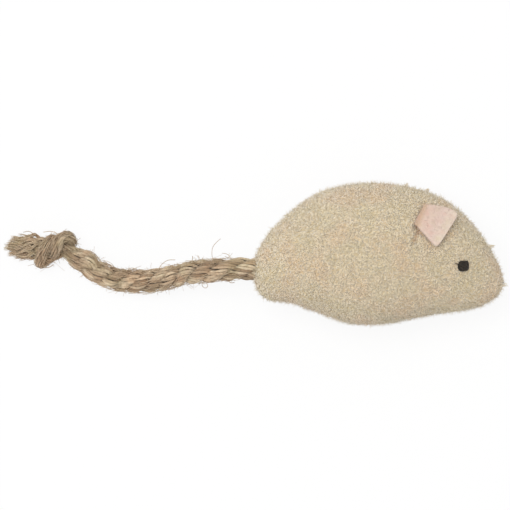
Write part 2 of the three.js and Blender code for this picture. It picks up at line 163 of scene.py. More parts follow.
# %% World and lamp
WORLD_STRENGTH = 0.65
LAMP_PLACE = (-0.22, 0.15, 0.88)
LAMP_SIZE = 0.5
LAMP_POWER = 4.7

world = bpy.data.worlds.new("studio")
world.use_nodes = True
scene.world = world
surround = world.node_tree.nodes["Background"]
surround.inputs["Color"].default_value = (1, 1, 1, 1)
surround.inputs["Strength"].default_value = WORLD_STRENGTH
lamp_data = bpy.data.lights.new("overhead_panel", "AREA")
lamp_data.shape = "SQUARE"
lamp_data.size = LAMP_SIZE
lamp_data.energy = LAMP_POWER
lamp = new_object("overhead_panel", lamp_data)
lamp.location = LAMP_PLACE
lamp.rotation_euler = (-Vector(LAMP_PLACE)).to_track_quat("-Z", "Y").to_euler()
print("light: surround at", WORLD_STRENGTH, "and one panel of", LAMP_POWER, "W")

# %% [markdown]
# ## Helpers for fibres
# Rope, thread and fuzz are all lines with a thickness. Blender's curves with a round bevel make such tubes,
# and one curve object holds as many lines as it is given. A curve becomes a plain mesh at the end, its caps
# are merged on, and each strand gets a random number of its own, which the materials read as a shade.

# %% Smooth lines
SPAN_POINTS = 24
rng = np.random.default_rng(seed=7)


def unit(vectors):
    return vectors / np.linalg.norm(vectors, axis=-1, keepdims=True)


def length_along(line):
    return np.concatenate([[0], np.cumsum(np.linalg.norm(np.diff(line, axis=0), axis=1))])


def smooth_line(points, step):
    """Even points on a smooth curve through the given ones."""
    points = np.array(points, float)
    padded = np.vstack([2 * points[0] - points[1], points, 2 * points[-1] - points[-2]])
    dense = []
    for p0, p1, p2, p3 in zip(padded, padded[1:], padded[2:], padded[3:]):
        t1 = np.linalg.norm(p1 - p0) ** 0.5
        t2 = t1 + np.linalg.norm(p2 - p1) ** 0.5
        t3 = t2 + np.linalg.norm(p3 - p2) ** 0.5
        t = np.linspace(t1, t2, SPAN_POINTS, endpoint=False)[:, None]
        a1 = p0 + (p1 - p0) * t / t1
        a2 = p1 + (p2 - p1) * (t - t1) / (t2 - t1)
        a3 = p2 + (p3 - p2) * (t - t2) / (t3 - t2)
        b1 = a1 + (a2 - a1) * t / t2
        b2 = a2 + (a3 - a2) * (t - t1) / (t3 - t1)
        dense.append(b1 + (b2 - b1) * (t - t1) / (t2 - t1))
    dense = np.vstack([*dense, points[-1:]])
    run = length_along(dense)
    places = np.linspace(0, run[-1], max(2, round(run[-1] / step) + 1))
    return np.column_stack([np.interp(places, run, dense[:, k]) for k in range(3)])


def carried_frame(line):
    """The direction ahead and two side directions at each point, carried along without a twist."""
    ahead = unit(np.gradient(line, axis=0))
    side = np.cross(ahead[0], (0, 0, 1))
    sides = []
    for direction in ahead:
        side = unit(side - direction * (side @ direction))
        sides.append(side)
    sides = np.array(sides)
    return ahead, sides, np.cross(ahead, sides)


print("lines: %d points to each span before they are evened out" % SPAN_POINTS)

# %% Tubes
MERGE_DISTANCE = 1e-7


def plain_mesh(source, name, merge=True):
    """A mesh object at the origin from an object's evaluated shape, with its doubles merged if asked."""
    bpy.context.view_layer.update()
    shape = source.evaluated_get(bpy.context.evaluated_depsgraph_get())
    made = bpy.data.meshes.new_from_object(shape)
    bpy.data.objects.remove(source)
    made.name = name
    if merge:
        bm = bmesh.new()
        bm.from_mesh(made)
        bmesh.ops.remove_doubles(bm, verts=bm.verts, dist=MERGE_DISTANCE)
        bm.to_mesh(made)
        bm.free()
    made.shade_smooth()
    return new_object(name, made)


def tubes(name, lines, radii, sides=6):
    """One mesh of round tubes: a line of points and their radii for each tube."""
    curve = bpy.data.curves.new(name, "CURVE")
    curve.dimensions = "3D"
    curve.bevel_depth = 1.0
    # a resolution of 0 gives four sides, and each step two more
    curve.bevel_resolution = (sides - 4) // 2
    curve.use_fill_caps = True
    for line, radius in zip(lines, radii):
        spline = curve.splines.new("POLY")
        spline.points.add(len(line) - 1)
        spline.points.foreach_set("co", np.column_stack([line, np.ones(len(line))]).ravel())
        spline.points.foreach_set("radius", np.broadcast_to(radius, len(line)).astype(float))
    return plain_mesh(new_object(name, curve), name)


print("tubes: points nearer than %g mm are merged" % (MERGE_DISTANCE / MM))

# %% Random shades
RANDOM_SOCKETS = {
    # inputs for the least and the largest value, and the output
    "FLOAT_VECTOR": (0, 1, 0),
    "FLOAT": (2, 3, 1),
    "INT": (4, 5, 2),
}


def geometry_group(name):
    """A node group that takes a geometry in and gives one out, with its two ends."""
    group = bpy.data.node_groups.new(name, "GeometryNodeTree")
    for way in ("INPUT", "OUTPUT"):
        group.interface.new_socket("Geometry", in_out=way, socket_type="NodeSocketGeometry")
    start = group.nodes.new("NodeGroupInput").outputs[0]
    end = group.nodes.new("NodeGroupOutput").inputs[0]
    return group, start, end


def random_value(group, kind, least, largest, seed):
    low, high, out = RANDOM_SOCKETS[kind]
    node = group.nodes.new("FunctionNodeRandomValue")
    node.data_type = kind
    node.inputs[low].default_value = least
    node.inputs[high].default_value = largest
    node.inputs["Seed"].default_value = seed
    return node.outputs[out]


def shade_islands(piece, seed, least=0.0):
    """Stores a random shade, from the least one to 1, on each loose strand of a mesh."""
    group, start, end = geometry_group("shades")
    island = group.nodes.new("GeometryNodeInputMeshIsland")
    shade = random_value(group, "FLOAT", least, 1.0, seed)
    store = group.nodes.new("GeometryNodeStoreNamedAttribute")
    store.inputs["Name"].default_value = "shade"
    group.links.new(island.outputs["Island Index"], shade.node.inputs["ID"])
    group.links.new(shade, store.inputs["Value"])
    group.links.new(start, store.inputs["Geometry"])
    group.links.new(store.outputs[0], end)
    piece.modifiers.new("shades", "NODES").node_group = group
    return plain_mesh(piece, piece.name)


print("random values:", ", ".join(RANDOM_SOCKETS))

# %% [markdown]
# ## The rope's route
# The tail is one piece of three-strand rope: sewn between the panels, lying in a loose S on the table, tied
# in an overhand knot and frayed at its end. The free stretch repeats the points of the construction, in
# millimetres. There the knot is laid open, so that its turns stay apart. Here the same knot is drawn tight:
# the rope goes in under what will be the last turn, comes up at the top left and down the front, goes round
# below and behind everything to the right, comes over its own start and down the front beside the first
# turn, and leaves under that turn. Places in the knot are given from its middle, five or six for each
# stretch.

# %% Rope route
ROOT_END = (-19.5, -3.5, 13.5)
RUMP = (-30.0, -3.5, 13.5)
PIVOT = (-33.4, -3.5, 13.5)
TAIL_ROUTE = [
    (-36.6, -3.7, 13.1),
    (-39.6, -4.0, 12.2),
    (-42.5, -4.2, 11.0),
    (-45.4, -4.6, 9.6),
    (-48.4, -5.3, 8.1),
    (-51.4, -6.0, 6.7),
    (-54.4, -6.5, 5.4),
    (-57.3, -6.7, 4.4),
    (-60.2, -6.6, 3.6),
    (-63.1, -6.1, 3.1),
    (-66.0, -5.1, 3.0),
    (-68.4, -3.9, 3.3),
]
KNOT_MIDDLE = (-76.0, 1.2, 4.6)
KNOT_IN = [
    # in from the right, under the last turn
    (6.0, -3.3, -1.1),
    (4.1, -2.4, -1.0),
    (2.3, -1.4, -0.8),
    (0.7, -0.2, -0.7),
    (-0.8, 1.3, -0.2),
    (-2.0, 2.3, 0.6),
]
KNOT_LEFT = [
    # down the front at the left, and round below
    (-3.0, 1.9, 1.5),
    (-3.8, 0.5, 1.9),
    (-4.5, -0.9, 1.8),
    (-5.2, -2.4, 1.2),
    (-5.6, -3.3, 0.1),
    (-4.9, -3.1, -1.2),
]
KNOT_BEHIND = [
    # behind everything to the right, and up
    (-2.8, -1.6, -2.3),
    (-0.6, -0.5, -3.0),
    (1.1, 0.7, -2.8),
    (2.0, 1.7, -1.6),
    (1.9, 2.6, -0.1),
]
KNOT_FRONT = [
    # over the rope's own start, and down the front beside the first turn
    (0.8, 3.0, 1.1),
    (-0.4, 2.4, 1.9),
    (-1.1, 1.2, 2.2),
    (-1.6, 0.0, 2.0),
    (-2.1, -1.0, 1.2),
]
KNOT_OUT = [
    # through the loop, and out under the first turn
    (-2.6, -1.2, -0.1),
    (-3.2, -0.5, -1.1),
    (-4.2, 0.3, -1.7),
    (-5.4, 0.6, -1.7),
    (-6.6, 0.6, -1.5),
]
ROPE_STEP = 0.35 * MM

knot_points = np.vstack([KNOT_IN, KNOT_LEFT, KNOT_BEHIND, KNOT_FRONT, KNOT_OUT]) + KNOT_MIDDLE
route_points = np.vstack([[ROOT_END, RUMP, PIVOT], TAIL_ROUTE, knot_points]) * MM
rope_line = smooth_line(route_points, ROPE_STEP)
rope_run = length_along(rope_line)
knot_start = rope_run[np.argmin(np.linalg.norm(rope_line - knot_points[0] * MM, axis=1))]
rope_length = rope_run[-1]
knot_length = rope_length - knot_start
print("rope: %.1f mm, of which the knot takes %.1f mm" % (rope_length / MM, knot_length / MM))

# %% [markdown]
# ## The rope's lay
# A laid rope could be one tube with a bump map, but its outline would stay smooth, and the outline is what
# gives rope away. So each of its three strands is a bundle of yarns: the strands wind round the route one
# way, the yarns wind round their strand the other way, and every yarn wanders a little. The rope is looser
# where it leaves the body, and thinner in the knot.

# %% Rope lay
ROPE_DIAMETER = 5.6 * MM
KNOT_STRAND = 2.75 * MM
DRAW_IN = 8.0 * MM
LAY_LENGTH = 11.8 * MM
LOOSE_LAY = 24.0 * MM
LOOSE_LENGTH = 26.0 * MM
YARN_LAY = 22.0 * MM
STRAND_OFFSET, STRAND_OFFSET_KNOT = 0.35, 0.28
YARN_OFFSET, YARN_OFFSET_KNOT = 0.51, 0.55


def between(first, second, share):
    return first + (second - first) * share


rope_ahead, rope_side, rope_up = carried_frame(rope_line)
drawn_in = np.clip((rope_run - knot_start) / DRAW_IN, 0, 1)
drawn_in = drawn_in * drawn_in * (3 - 2 * drawn_in)
rope_radius = between(ROPE_DIAMETER, KNOT_STRAND, drawn_in) / 2
strand_offset = rope_radius * between(STRAND_OFFSET, STRAND_OFFSET_KNOT, drawn_in)
yarn_offset = rope_radius * between(YARN_OFFSET, YARN_OFFSET_KNOT, drawn_in)
lay = between(LOOSE_LAY, LAY_LENGTH, np.clip(rope_run / LOOSE_LENGTH, 0, 1))
lay_turn = np.cumsum(np.gradient(rope_run) / lay) * 2 * np.pi
yarn_turn = rope_run / YARN_LAY * 2 * np.pi
print("rope: its strands wind round it %.1f times" % (lay_turn[-1] / (2 * np.pi)))

# %% Rope yarns
STRANDS = 3
YARNS = 14
YARN_RADIUS = 0.13
TABLE_CLEAR = 0.05 * MM
# a swing is made of three waves: their rates, their strengths and about what they add up to
SWING_RATES = (1.0, 2.3, 4.1)
SWING_STRENGTHS = (0.5, 1.0)
SWING_SUM = 1.6
ANY_PHASE = 6.28
# how much each of these wanders, and on how long a wave
STRAND_TURN_SWING = (0.16, 5.0 * MM)
STRAND_OUT_SWING = (0.14, 3.0 * MM)
YARN_TURN_SWING = (0.15, 5.0 * MM)
YARN_OUT_SWING = (0.08, 2.2 * MM)
YARN_WIDTH_SWING = (0.22, 1.8 * MM)


def wander(run, size, wave):
    """A slow random swing along a line, of about the given size."""
    swings = []
    for rate in SWING_RATES:
        strength = rng.uniform(*SWING_STRENGTHS)
        swings.append(strength * np.sin(run / wave * rate + rng.uniform(0, ANY_PHASE)))
    return size * np.sum(swings, axis=0) / SWING_SUM


def keep_above(points, least):
    """Lifts the points that lie lower than the least height."""
    points[:, 2] = np.maximum(points[:, 2], least)
    return points


def yarn_lines():
    lines = []
    radii = []
    for strand in range(STRANDS):
        turn = strand * 2 * np.pi / STRANDS - lay_turn + wander(rope_run, *STRAND_TURN_SWING)
        out = strand_offset * (1 + wander(rope_run, *STRAND_OUT_SWING))
        for yarn in range(YARNS):
            twist = yarn * 2 * np.pi / YARNS + yarn_turn + wander(rope_run, *YARN_TURN_SWING)
            reach = yarn_offset * (1 + wander(rope_run, *YARN_OUT_SWING))
            x = out * np.cos(turn) + reach * np.cos(twist)
            y = out * np.sin(turn) + reach * np.sin(twist)
            radius = YARN_RADIUS * rope_radius * (1 + wander(rope_run, *YARN_WIDTH_SWING))
            line = rope_line + rope_side * x[:, None] + rope_up * y[:, None]
            lines.append(keep_above(line, radius + TABLE_CLEAR))
            radii.append(radius)
    return lines, radii


rope = shade_islands(tubes("tail_rope_laid", *yarn_lines()), seed=3)
print("rope:", len(rope.data.polygons), "faces in", STRANDS * YARNS, "yarns")

# %% [markdown]
# ## The body's form
# The skin is the same teardrop as in the construction: a sphere with its poles at rump and nose, stretched
# to a height over the spine, a depth under it and a width at nine stations. The same functions give places
# on the flanks later, where ears and eyes are sewn on.

# %% Body sections
BODY_LENGTH = 60.0 * MM
BACK_HEIGHT = 22.8 * MM
BELLY_DEPTH = 11.8 * MM
FLANK_DEPTH = 14.0 * MM
REAR_SPINE = -4.2 * MM
NOSE_SPINE = -6.7 * MM
BACK_SHARES = (0.78, 0.88, 0.974, 0.987, 0.989, 0.996, 1, 0.912, 0.636)
BELLY_SHARES = (1.44, 0.89, 0.88, 1, 0.975, 0.873, 0.814, 0.881, 0.966)
FLANK_SHARES = (1.16, 1.04, 1.02, 1.01, 1, 0.94, 0.885, 0.857, 0.857)
NORMAL_STEP = 0.05 * MM


def profile(shares, along):
    """A smooth curve through even stations from rump (-1) to nose (1)."""
    shares = np.array(shares)
    place = (np.asarray(along) + 1) / 2 * (len(shares) - 1)
    first = np.clip(np.floor(place).astype(int), 0, len(shares) - 2)
    t = place - first
    before = shares[np.maximum(first - 1, 0)]
    after = shares[np.minimum(first + 2, len(shares) - 1)]
    low, high = shares[first], shares[first + 1]
    slope_low, slope_high = (high - before) / 2, (after - low) / 2
    bend = 2 * low - 2 * high + slope_low + slope_high
    lean = 3 * high - 3 * low - 2 * slope_low - slope_high
    return ((bend * t + lean) * t + slope_low) * t + low


def section(along, inset):
    """Where the middle of the body's upright section lies at places along it, and half its height."""
    up = BACK_HEIGHT * profile(BACK_SHARES, along) - inset
    down = BELLY_DEPTH * profile(BELLY_SHARES, along) - inset
    girth = np.sqrt(np.maximum(0, 1 - along**2))
    middle = between(REAR_SPINE, NOSE_SPINE, (along + 1) / 2) + (up - down) / 2 * girth
    return middle, (up + down) / 2


def skin_points(ball, inset=0.0):
    """Points of a unit sphere, poles on X, carried to the skin or to a like form set in from it."""
    along = np.clip(ball[:, 0], -1, 1)
    middle, half = section(along, inset)
    wide = FLANK_DEPTH * profile(FLANK_SHARES, along) - inset
    x = (BODY_LENGTH / 2 - inset) * along
    return np.column_stack([x, middle + half * ball[:, 1], SEAM_HEIGHT + wide * ball[:, 2]])


def flank_points(places):
    """Points of the right flank over places in the seam plane."""
    places = np.atleast_2d(places)
    along = places[:, 0] / (BODY_LENGTH / 2)
    middle, half = section(along, 0.0)
    y = (places[:, 1] - middle) / half
    z = np.sqrt(np.maximum(0, 1 - along**2 - y**2))
    return skin_points(np.column_stack([along, y, z]))


def flank_normals(places):
    places = np.atleast_2d(places)
    along_x = flank_points(places + (NORMAL_STEP, 0)) - flank_points(places - (NORMAL_STEP, 0))
    along_y = flank_points(places + (0, NORMAL_STEP)) - flank_points(places - (0, NORMAL_STEP))
    return unit(np.cross(along_x, along_y))


print("body: %.0f mm long, with %d stations" % (BODY_LENGTH / MM, len(FLANK_SHARES)))

# %% [markdown]
# ## The skin
# A UV sphere suits this body, because one ring of its meridians then lies exactly in the seam. Its edges and
# faces come in an order that can change from run to run, and the pile will be strewn face by face, so they
# are put in the order of their points. The cloth starts a little inside the finished outline, because it
# will swell, and because the pile stands on it.

# %% Skin
MERIDIANS, RINGS = 96, 72
PILE_DEPTH = 0.5 * MM
FLANK_ROOM = 0.95
SEAM_LIMIT = 1e-4
KEY_BASE = 10000
KEY_POINTS = 3


def by_points(element):
    """A key that puts edges or faces in the order of their points."""
    key = 0
    for number in sorted(vert.index for vert in element.verts)[:KEY_POINTS]:
        key = key * KEY_BASE + number
    return key


def from_seam(height, times):
    """A height with its distance from the seam multiplied: by -1 to mirror it to the left side."""
    return SEAM_HEIGHT + times * (height - SEAM_HEIGHT)


bm = bmesh.new()
bmesh.ops.create_uvsphere(bm, u_segments=MERIDIANS, v_segments=RINGS, radius=1)
bm.verts.index_update()
bm.edges.sort(key=by_points)
bm.faces.sort(key=by_points)
bmesh.ops.rotate(bm, verts=bm.verts, cent=(0, 0, 0), matrix=Matrix.Rotation(np.pi / 2, 3, "Y"))
ball = np.array([vert.co for vert in bm.verts])
for vert, place in zip(bm.verts, skin_points(ball, PILE_DEPTH)):
    vert.co = place
    vert.co.z = from_seam(vert.co.z, FLANK_ROOM)
skin_mesh = mesh_of(bm, "skin")
on_seam = np.flatnonzero(np.abs(ball[:, 2]) < SEAM_LIMIT)
print("skin:", len(skin_mesh.vertices), "points,", len(on_seam), "of them on the seam")

# %% [markdown]
# ## Stuffing it
# A stuffed skin isn't a smooth egg: it is tight where the filling presses and gathers where the seam holds
# it. Blender's cloth with pressure does that. The seam is pinned and pressure pushes the fabric out. Cloth
# is tuned for things the size of a garment, so the skin is simulated twenty times larger. The pressure is
# high and the fabric gives, so the swelling settles at one shape, which is the same in every run. How far a
# point may move is capped, it fades out towards nose and rump, where the panels are gathered, and steps
# smaller than a hair are rounded off. The result becomes the mesh.

# %% Swell the skin
CLOTH_SCALE = 20.0
CLOTH_SETTINGS = {
    "quality": 6,
    "mass": 0.3,
    "tension_stiffness": 15,
    "compression_stiffness": 15,
    "shear_stiffness": 5,
    "bending_stiffness": 0.2,
    "vertex_group_mass": "seam",
    "use_pressure": True,
    "uniform_pressure_force": 110,
}
SWELL_FRAMES = 20
SWELL_CAP = 0.9 * MM
SWELL_FADE = 7.0 * MM
SWELL_STEP = 0.02 * MM
NEARLY_NOTHING = 1e-9


def mesh_points(mesh):
    points = np.empty(len(mesh.vertices) * 3)
    mesh.vertices.foreach_get("co", points)
    return points.reshape(-1, 3)


def swell(mesh, pinned):
    """Blows the skin up as cloth, held at the pinned points, and gives back how far the points went."""
    start = mesh_points(mesh)
    mesh.vertices.foreach_set("co", (start * CLOTH_SCALE).ravel())
    holder = new_object("swelling", mesh)
    holder.vertex_groups.new(name="seam").add([int(number) for number in pinned], 1.0, "REPLACE")
    cloth = holder.modifiers.new("cloth", "CLOTH")
    for setting, value in CLOTH_SETTINGS.items():
        setattr(cloth.settings, setting, value)
    cloth.settings.effector_weights.gravity = 0
    cloth.collision_settings.use_collision = False
    for number in range(1, SWELL_FRAMES + 1):
        scene.frame_set(number)
    swollen = holder.evaluated_get(bpy.context.evaluated_depsgraph_get())
    end = mesh_points(swollen.data) / CLOTH_SCALE
    bpy.data.objects.remove(holder)
    scene.frame_set(1)
    far = np.linalg.norm(end - start, axis=1)
    share = np.minimum(1, SWELL_CAP / np.maximum(far, NEARLY_NOTHING))
    share *= np.clip((BODY_LENGTH / 2 - np.abs(start[:, 0])) / SWELL_FADE, 0, 1)
    moved = np.round((end - start) * share[:, None] / SWELL_STEP) * SWELL_STEP
    mesh.vertices.foreach_set("co", (start + moved).ravel())
    return far


swelling = swell(skin_mesh, on_seam) / MM
print("skin: swollen by %.2f mm on average, %.2f mm at most" % (swelling.mean(), swelling.max()))

# %% [markdown]
# ## What the needle did to it
# The skin is made finer now, so that it can take what sewing leaves in it: the seam's shallow valley, the
# dart that each ear's base is caught in, the crease and the little pucker beside it, the dimple round each
# eye, and the mouth that the rope comes out of. All but the mouth are smooth dents, so one function makes
# them. The filling adds low lumps, which are noise along the skin's own normals. Underneath, the toy lies
# flat.

# %% Dents
EAR_BASE = ((10.4 * MM, 11.3 * MM), (8.2 * MM, 6.4 * MM))
EAR_CREASE = ((7.9 * MM, 6.5 * MM), (9.9 * MM, 4.3 * MM))
PUCKER = ((8.6 * MM, 5.2 * MM), (7.3 * MM, 2.5 * MM))
EYE_PLACE = (19.3 * MM, -2.8 * MM)
FLANK_FROM = 3.0 * MM


def to_stretch(points, stretch):
    """Distance in the seam plane from points to a straight stretch between two places."""
    start, end = np.array(stretch)
    along = np.clip((points[:, :2] - start) @ (end - start) / np.sum((end - start) ** 2), 0, 1)
    return np.linalg.norm(points[:, :2] - start - along[:, None] * (end - start), axis=1)


def to_place(points, place):
    return np.linalg.norm(points[:, :2] - place, axis=1)


def dent(distance, depth, width):
    return depth * np.exp(-((distance / width) ** 2))


# depth and width of each dent
SEAM_VALLEY = (0.35 * MM, 0.5 * MM)
FLANK_DENTS = (
    # distance from what, depth, width
    (to_stretch, EAR_BASE, 0.9 * MM, 0.8 * MM),
    (to_stretch, EAR_CREASE, 0.5 * MM, 0.5 * MM),
    (to_stretch, PUCKER, 0.7 * MM, 0.6 * MM),
    (to_place, EYE_PLACE, 0.5 * MM, 1.5 * MM),
)


def sewn(points):
    """How deep each point of the skin is drawn in."""
    off_seam = np.abs(points[:, 2] - SEAM_HEIGHT)
    deep = dent(off_seam, *SEAM_VALLEY)
    for distance, what, depth, width in FLANK_DENTS:
        deep += (off_seam > FLANK_FROM) * dent(distance(points, what), depth, width)
    return deep


print("dents: the seam's valley and", len(FLANK_DENTS), "on each flank")

# %% Sew the skin
LUMP_SIZE = 2.4 * MM
LUMP_HEIGHT = 0.16 * MM
REST_HEIGHT = 0.3 * MM
TAIL_PLACE = (RUMP[1] * MM, RUMP[2] * MM)
TAIL_MOUTH = 2.5 * MM


def lumps(points):
    return LUMP_HEIGHT * np.array([noise.noise(Vector(point) / LUMP_SIZE) for point in points])


bm = bmesh.new()
bm.from_mesh(skin_mesh)
bmesh.ops.subdivide_edges(bm, edges=bm.edges, cuts=1, smooth=1.0, use_grid_fill=True)
bm.normal_update()
skin_now = np.array([vert.co for vert in bm.verts])
skin_out = np.array([vert.normal for vert in bm.verts])
skin_now += skin_out * (lumps(skin_now) - sewn(skin_now))[:, None]
keep_above(skin_now, REST_HEIGHT)
for vert, place in zip(bm.verts, skin_now):
    vert.co = place
off_tail = np.linalg.norm(skin_now[:, 1:] - TAIL_PLACE, axis=1)
in_mouth = (off_tail < TAIL_MOUTH) & (skin_now[:, 0] < 0)
bm.verts.ensure_lookup_table()
bmesh.ops.delete(bm, geom=[bm.verts[number] for number in np.flatnonzero(in_mouth)], context="VERTS")
bm.to_mesh(skin_mesh)
bm.free()
print("skin:", len(skin_mesh.vertices), "points after sewing,", in_mouth.sum(), "cut out for the rope")

# %% [markdown]
# ## Two panels
# The toy is sewn from two mirror-image panels. A bisecting plane could part them, but one ring of the skin's
# edges lies in the seam already, so the faces beyond it are deleted and the rim is drawn back by a hair's
# breadth. That also keeps the points in the same order in every run. Each half gets the thickness of its
# backing cloth from a Solidify modifier, inwards.

# %% Part the skin
SIDES = {"right": 1, "left": -1}
SEAM_GAP = 0.1 * MM
CLOTH_THICKNESS = 1.0 * MM


def half_skin(name, side):
    """The skin on one side of the seam, with no thickness yet: side is 1 over the seam and -1 under it."""
    bm = bmesh.new()
    bm.from_mesh(skin_mesh)
    beyond = [face for face in bm.faces if side * (face.calc_center_median().z - SEAM_HEIGHT) < 0]
    bmesh.ops.delete(bm, geom=beyond, context="FACES")
    for vert in bm.verts:
        vert.co.z = SEAM_HEIGHT + side * max(side * (vert.co.z - SEAM_HEIGHT), SEAM_GAP)
    return new_object(name, mesh_of(bm, name))


panels = {}
for side_name, side in SIDES.items():
    panel = half_skin(side_name + "_plush", side)
    wall = panel.modifiers.new("backing", "SOLIDIFY")
    wall.thickness = CLOTH_THICKNESS
    wall.offset = -1
    panels[side_name] = plain_mesh(panel, panel.name)
    print(side_name, "panel:", len(panels[side_name].data.polygons), "faces")

# %% [markdown]
# ## Curls and hairs
# The plush is a short curly pile: thousands of little loops that lie in every direction, with fine hairs
# between them. A bump map would do for the middle of the body but not for its outline, where they stand
# against the light. So they are real. Five curls are bent from a three-sided ring with a spin, and so are
# three fine hairs. Each is drawn in towards its ends and has only a few faces, because there will be tens
# of thousands of them.

# %% Five curls
CURLS = (
    # chord, rise, sideways bend
    (0.58 * MM, 0.24 * MM, 0.00 * MM),
    (0.66 * MM, 0.27 * MM, 0.12 * MM),
    (0.82 * MM, 0.24 * MM, -0.20 * MM),
    (0.62 * MM, 0.29 * MM, 0.16 * MM),
    (0.74 * MM, 0.22 * MM, -0.10 * MM),
)
CURL_WIDTH = 0.58 * MM
CURL_THICKNESS = 0.36 * MM
CURL_TAPER = 0.55
CURL_STEPS = 4
CURL_SINK = 0.14 * MM
THREE_SIDES = 3


def closed_mesh(bm, name):
    """A mesh of a bmesh whose open ends are filled and whose faces are turned outwards."""
    bmesh.ops.holes_fill(bm, edges=[edge for edge in bm.edges if edge.is_boundary], sides=THREE_SIDES)
    bmesh.ops.recalc_face_normals(bm, faces=bm.faces)
    return mesh_of(bm, name)


def curl_mesh(name, chord, rise, bend):
    """A short arched loop, thick in the middle and drawn in at its ends."""
    radius = (chord**2 / 4 + rise**2) / (2 * rise)
    half = 2 * np.arctan2(2 * rise, chord)
    origin = (0, 0, 0)
    bm = bmesh.new()
    bmesh.ops.create_circle(bm, segments=THREE_SIDES, radius=0.5)
    bmesh.ops.scale(bm, verts=bm.verts, vec=(CURL_THICKNESS, CURL_WIDTH, 1))
    bmesh.ops.rotate(bm, verts=bm.verts, cent=origin, matrix=Matrix.Rotation(np.pi / 2, 3, "Y"))
    bmesh.ops.translate(bm, verts=bm.verts, vec=(0, 0, radius))
    bmesh.ops.rotate(bm, verts=bm.verts, cent=origin, matrix=Matrix.Rotation(-half, 3, "Y"))
    bmesh.ops.spin(bm, geom=bm.edges[:], cent=origin, axis=(0, 1, 0), angle=2 * half, steps=CURL_STEPS)
    for vert in bm.verts:
        turn = np.arctan2(vert.co.x, vert.co.z)
        core = Vector((radius * np.sin(turn), 0, radius * np.cos(turn)))
        vert.co = core + (vert.co - core) * (1 - CURL_TAPER * (turn / half) ** 2)
        vert.co.y += bend * (1 - (turn / half) ** 2)
        vert.co.z -= radius - rise + CURL_SINK
    return closed_mesh(bm, name)


def shape_set(name, make, sizes):
    """A collection of the shapes that a function makes from a list of sizes."""
    group = bpy.data.collections.new(name)
    scene.collection.children.link(group)
    for number, size in enumerate(sizes):
        shape_name = "%s_%d" % (name, number)
        group.objects.link(bpy.data.objects.new(shape_name, make(shape_name, *size)))
    return group


def drop_set(group):
    for shape in list(group.objects):
        bpy.data.objects.remove(shape)
    bpy.data.collections.remove(group)


curls = shape_set("curls", curl_mesh, CURLS)

# %% Three fine hairs
HAIRS = (
    # length, bend in radians
    (1.0 * MM, 0.8),
    (1.3 * MM, 1.4),
    (0.8 * MM, 0.4),
)
HAIR_RADIUS = 0.055 * MM
HAIR_TAPER = 0.75
HAIR_STEPS = 2


def hair_mesh(name, length, bend):
    """A fine hair that stands up from its root, bends over and gets thinner to its end."""
    radius = length / bend
    bm = bmesh.new()
    bmesh.ops.create_circle(bm, segments=THREE_SIDES, radius=HAIR_RADIUS)
    bmesh.ops.spin(
        bm, geom=bm.edges[:], cent=(radius, 0, 0), axis=(0, 1, 0), angle=bend, steps=HAIR_STEPS
    )
    for vert in bm.verts:
        turn = np.arctan2(vert.co.z, radius - vert.co.x)
        core = Vector((radius - radius * np.cos(turn), 0, radius * np.sin(turn)))
        vert.co = core + (vert.co - core) * (1 - HAIR_TAPER * turn / bend)
    return closed_mesh(bm, name)


fine_hairs = shape_set("fine_hairs", hair_mesh, HAIRS)

# %% [markdown]
# ## Strewing
# Copies could be set out by a loop, but Geometry Nodes do it faster and keep them evenly apart: points are
# spread over the skin with a least distance between them, each copy is turned and leaned at random, and
# each carries a random shade. An attribute named pile says how thickly they may stand.

# %% Strew shapes over a ground
PILE_FLOOR = 0.02 * MM


def strewing(shapes, spacing, density, scales, lean, seed):
    """A node group that covers a mesh with copies of the shapes, thinned by the attribute named pile."""
    group, start, end = geometry_group("strewing")
    node = group.nodes.new
    link = group.links.new
    mask = node("GeometryNodeInputNamedAttribute")
    mask.inputs["Name"].default_value = "pile"
    spread = node("GeometryNodeDistributePointsOnFaces")
    spread.distribute_method = "POISSON"
    spread.inputs["Distance Min"].default_value = spacing
    spread.inputs["Density Max"].default_value = density
    spread.inputs["Seed"].default_value = seed
    choice = node("GeometryNodeCollectionInfo")
    choice.inputs["Collection"].default_value = shapes
    choice.inputs["Separate Children"].default_value = True
    choice.inputs["Reset Children"].default_value = True
    which = random_value(group, "INT", 0, len(shapes.objects) - 1, seed + 1)
    turn = random_value(group, "FLOAT_VECTOR", (-lean, -lean, 0), (lean, lean, 2 * np.pi), seed + 2)
    size = random_value(group, "FLOAT", *scales, seed + 3)
    shade = random_value(group, "FLOAT", 0.0, 1.0, seed + 4)
    turned = node("FunctionNodeEulerToRotation")
    aimed = node("FunctionNodeRotateRotation")
    aimed.rotation_space = "LOCAL"
    place = node("GeometryNodeInstanceOnPoints")
    place.inputs["Pick Instance"].default_value = True
    store = node("GeometryNodeStoreNamedAttribute")
    store.domain = "INSTANCE"
    store.inputs["Name"].default_value = "shade"
    real = node("GeometryNodeRealizeInstances")
    link(start, spread.inputs["Mesh"])
    link(mask.outputs["Attribute"], spread.inputs["Density Factor"])
    link(spread.outputs["Points"], place.inputs["Points"])
    link(choice.outputs[0], place.inputs["Instance"])
    link(which, place.inputs["Instance Index"])
    link(turn, turned.inputs[0])
    link(spread.outputs["Rotation"], aimed.inputs["Rotation"])
    link(turned.outputs[0], aimed.inputs["Rotate By"])
    link(aimed.outputs[0], place.inputs["Rotation"])
    link(size, place.inputs["Scale"])
    link(place.outputs[0], store.inputs["Geometry"])
    link(shade, store.inputs["Value"])
    link(store.outputs[0], real.inputs[0])
    link(real.outputs[0], end)
    return group


def mark(piece, name, values):
    """Stores a number on each point of a mesh, under a name that nodes can read."""
    numbers = np.broadcast_to(values, len(piece.data.vertices)).astype(float)
    piece.data.attributes.new(name, "FLOAT", "POINT").data.foreach_set("value", numbers)


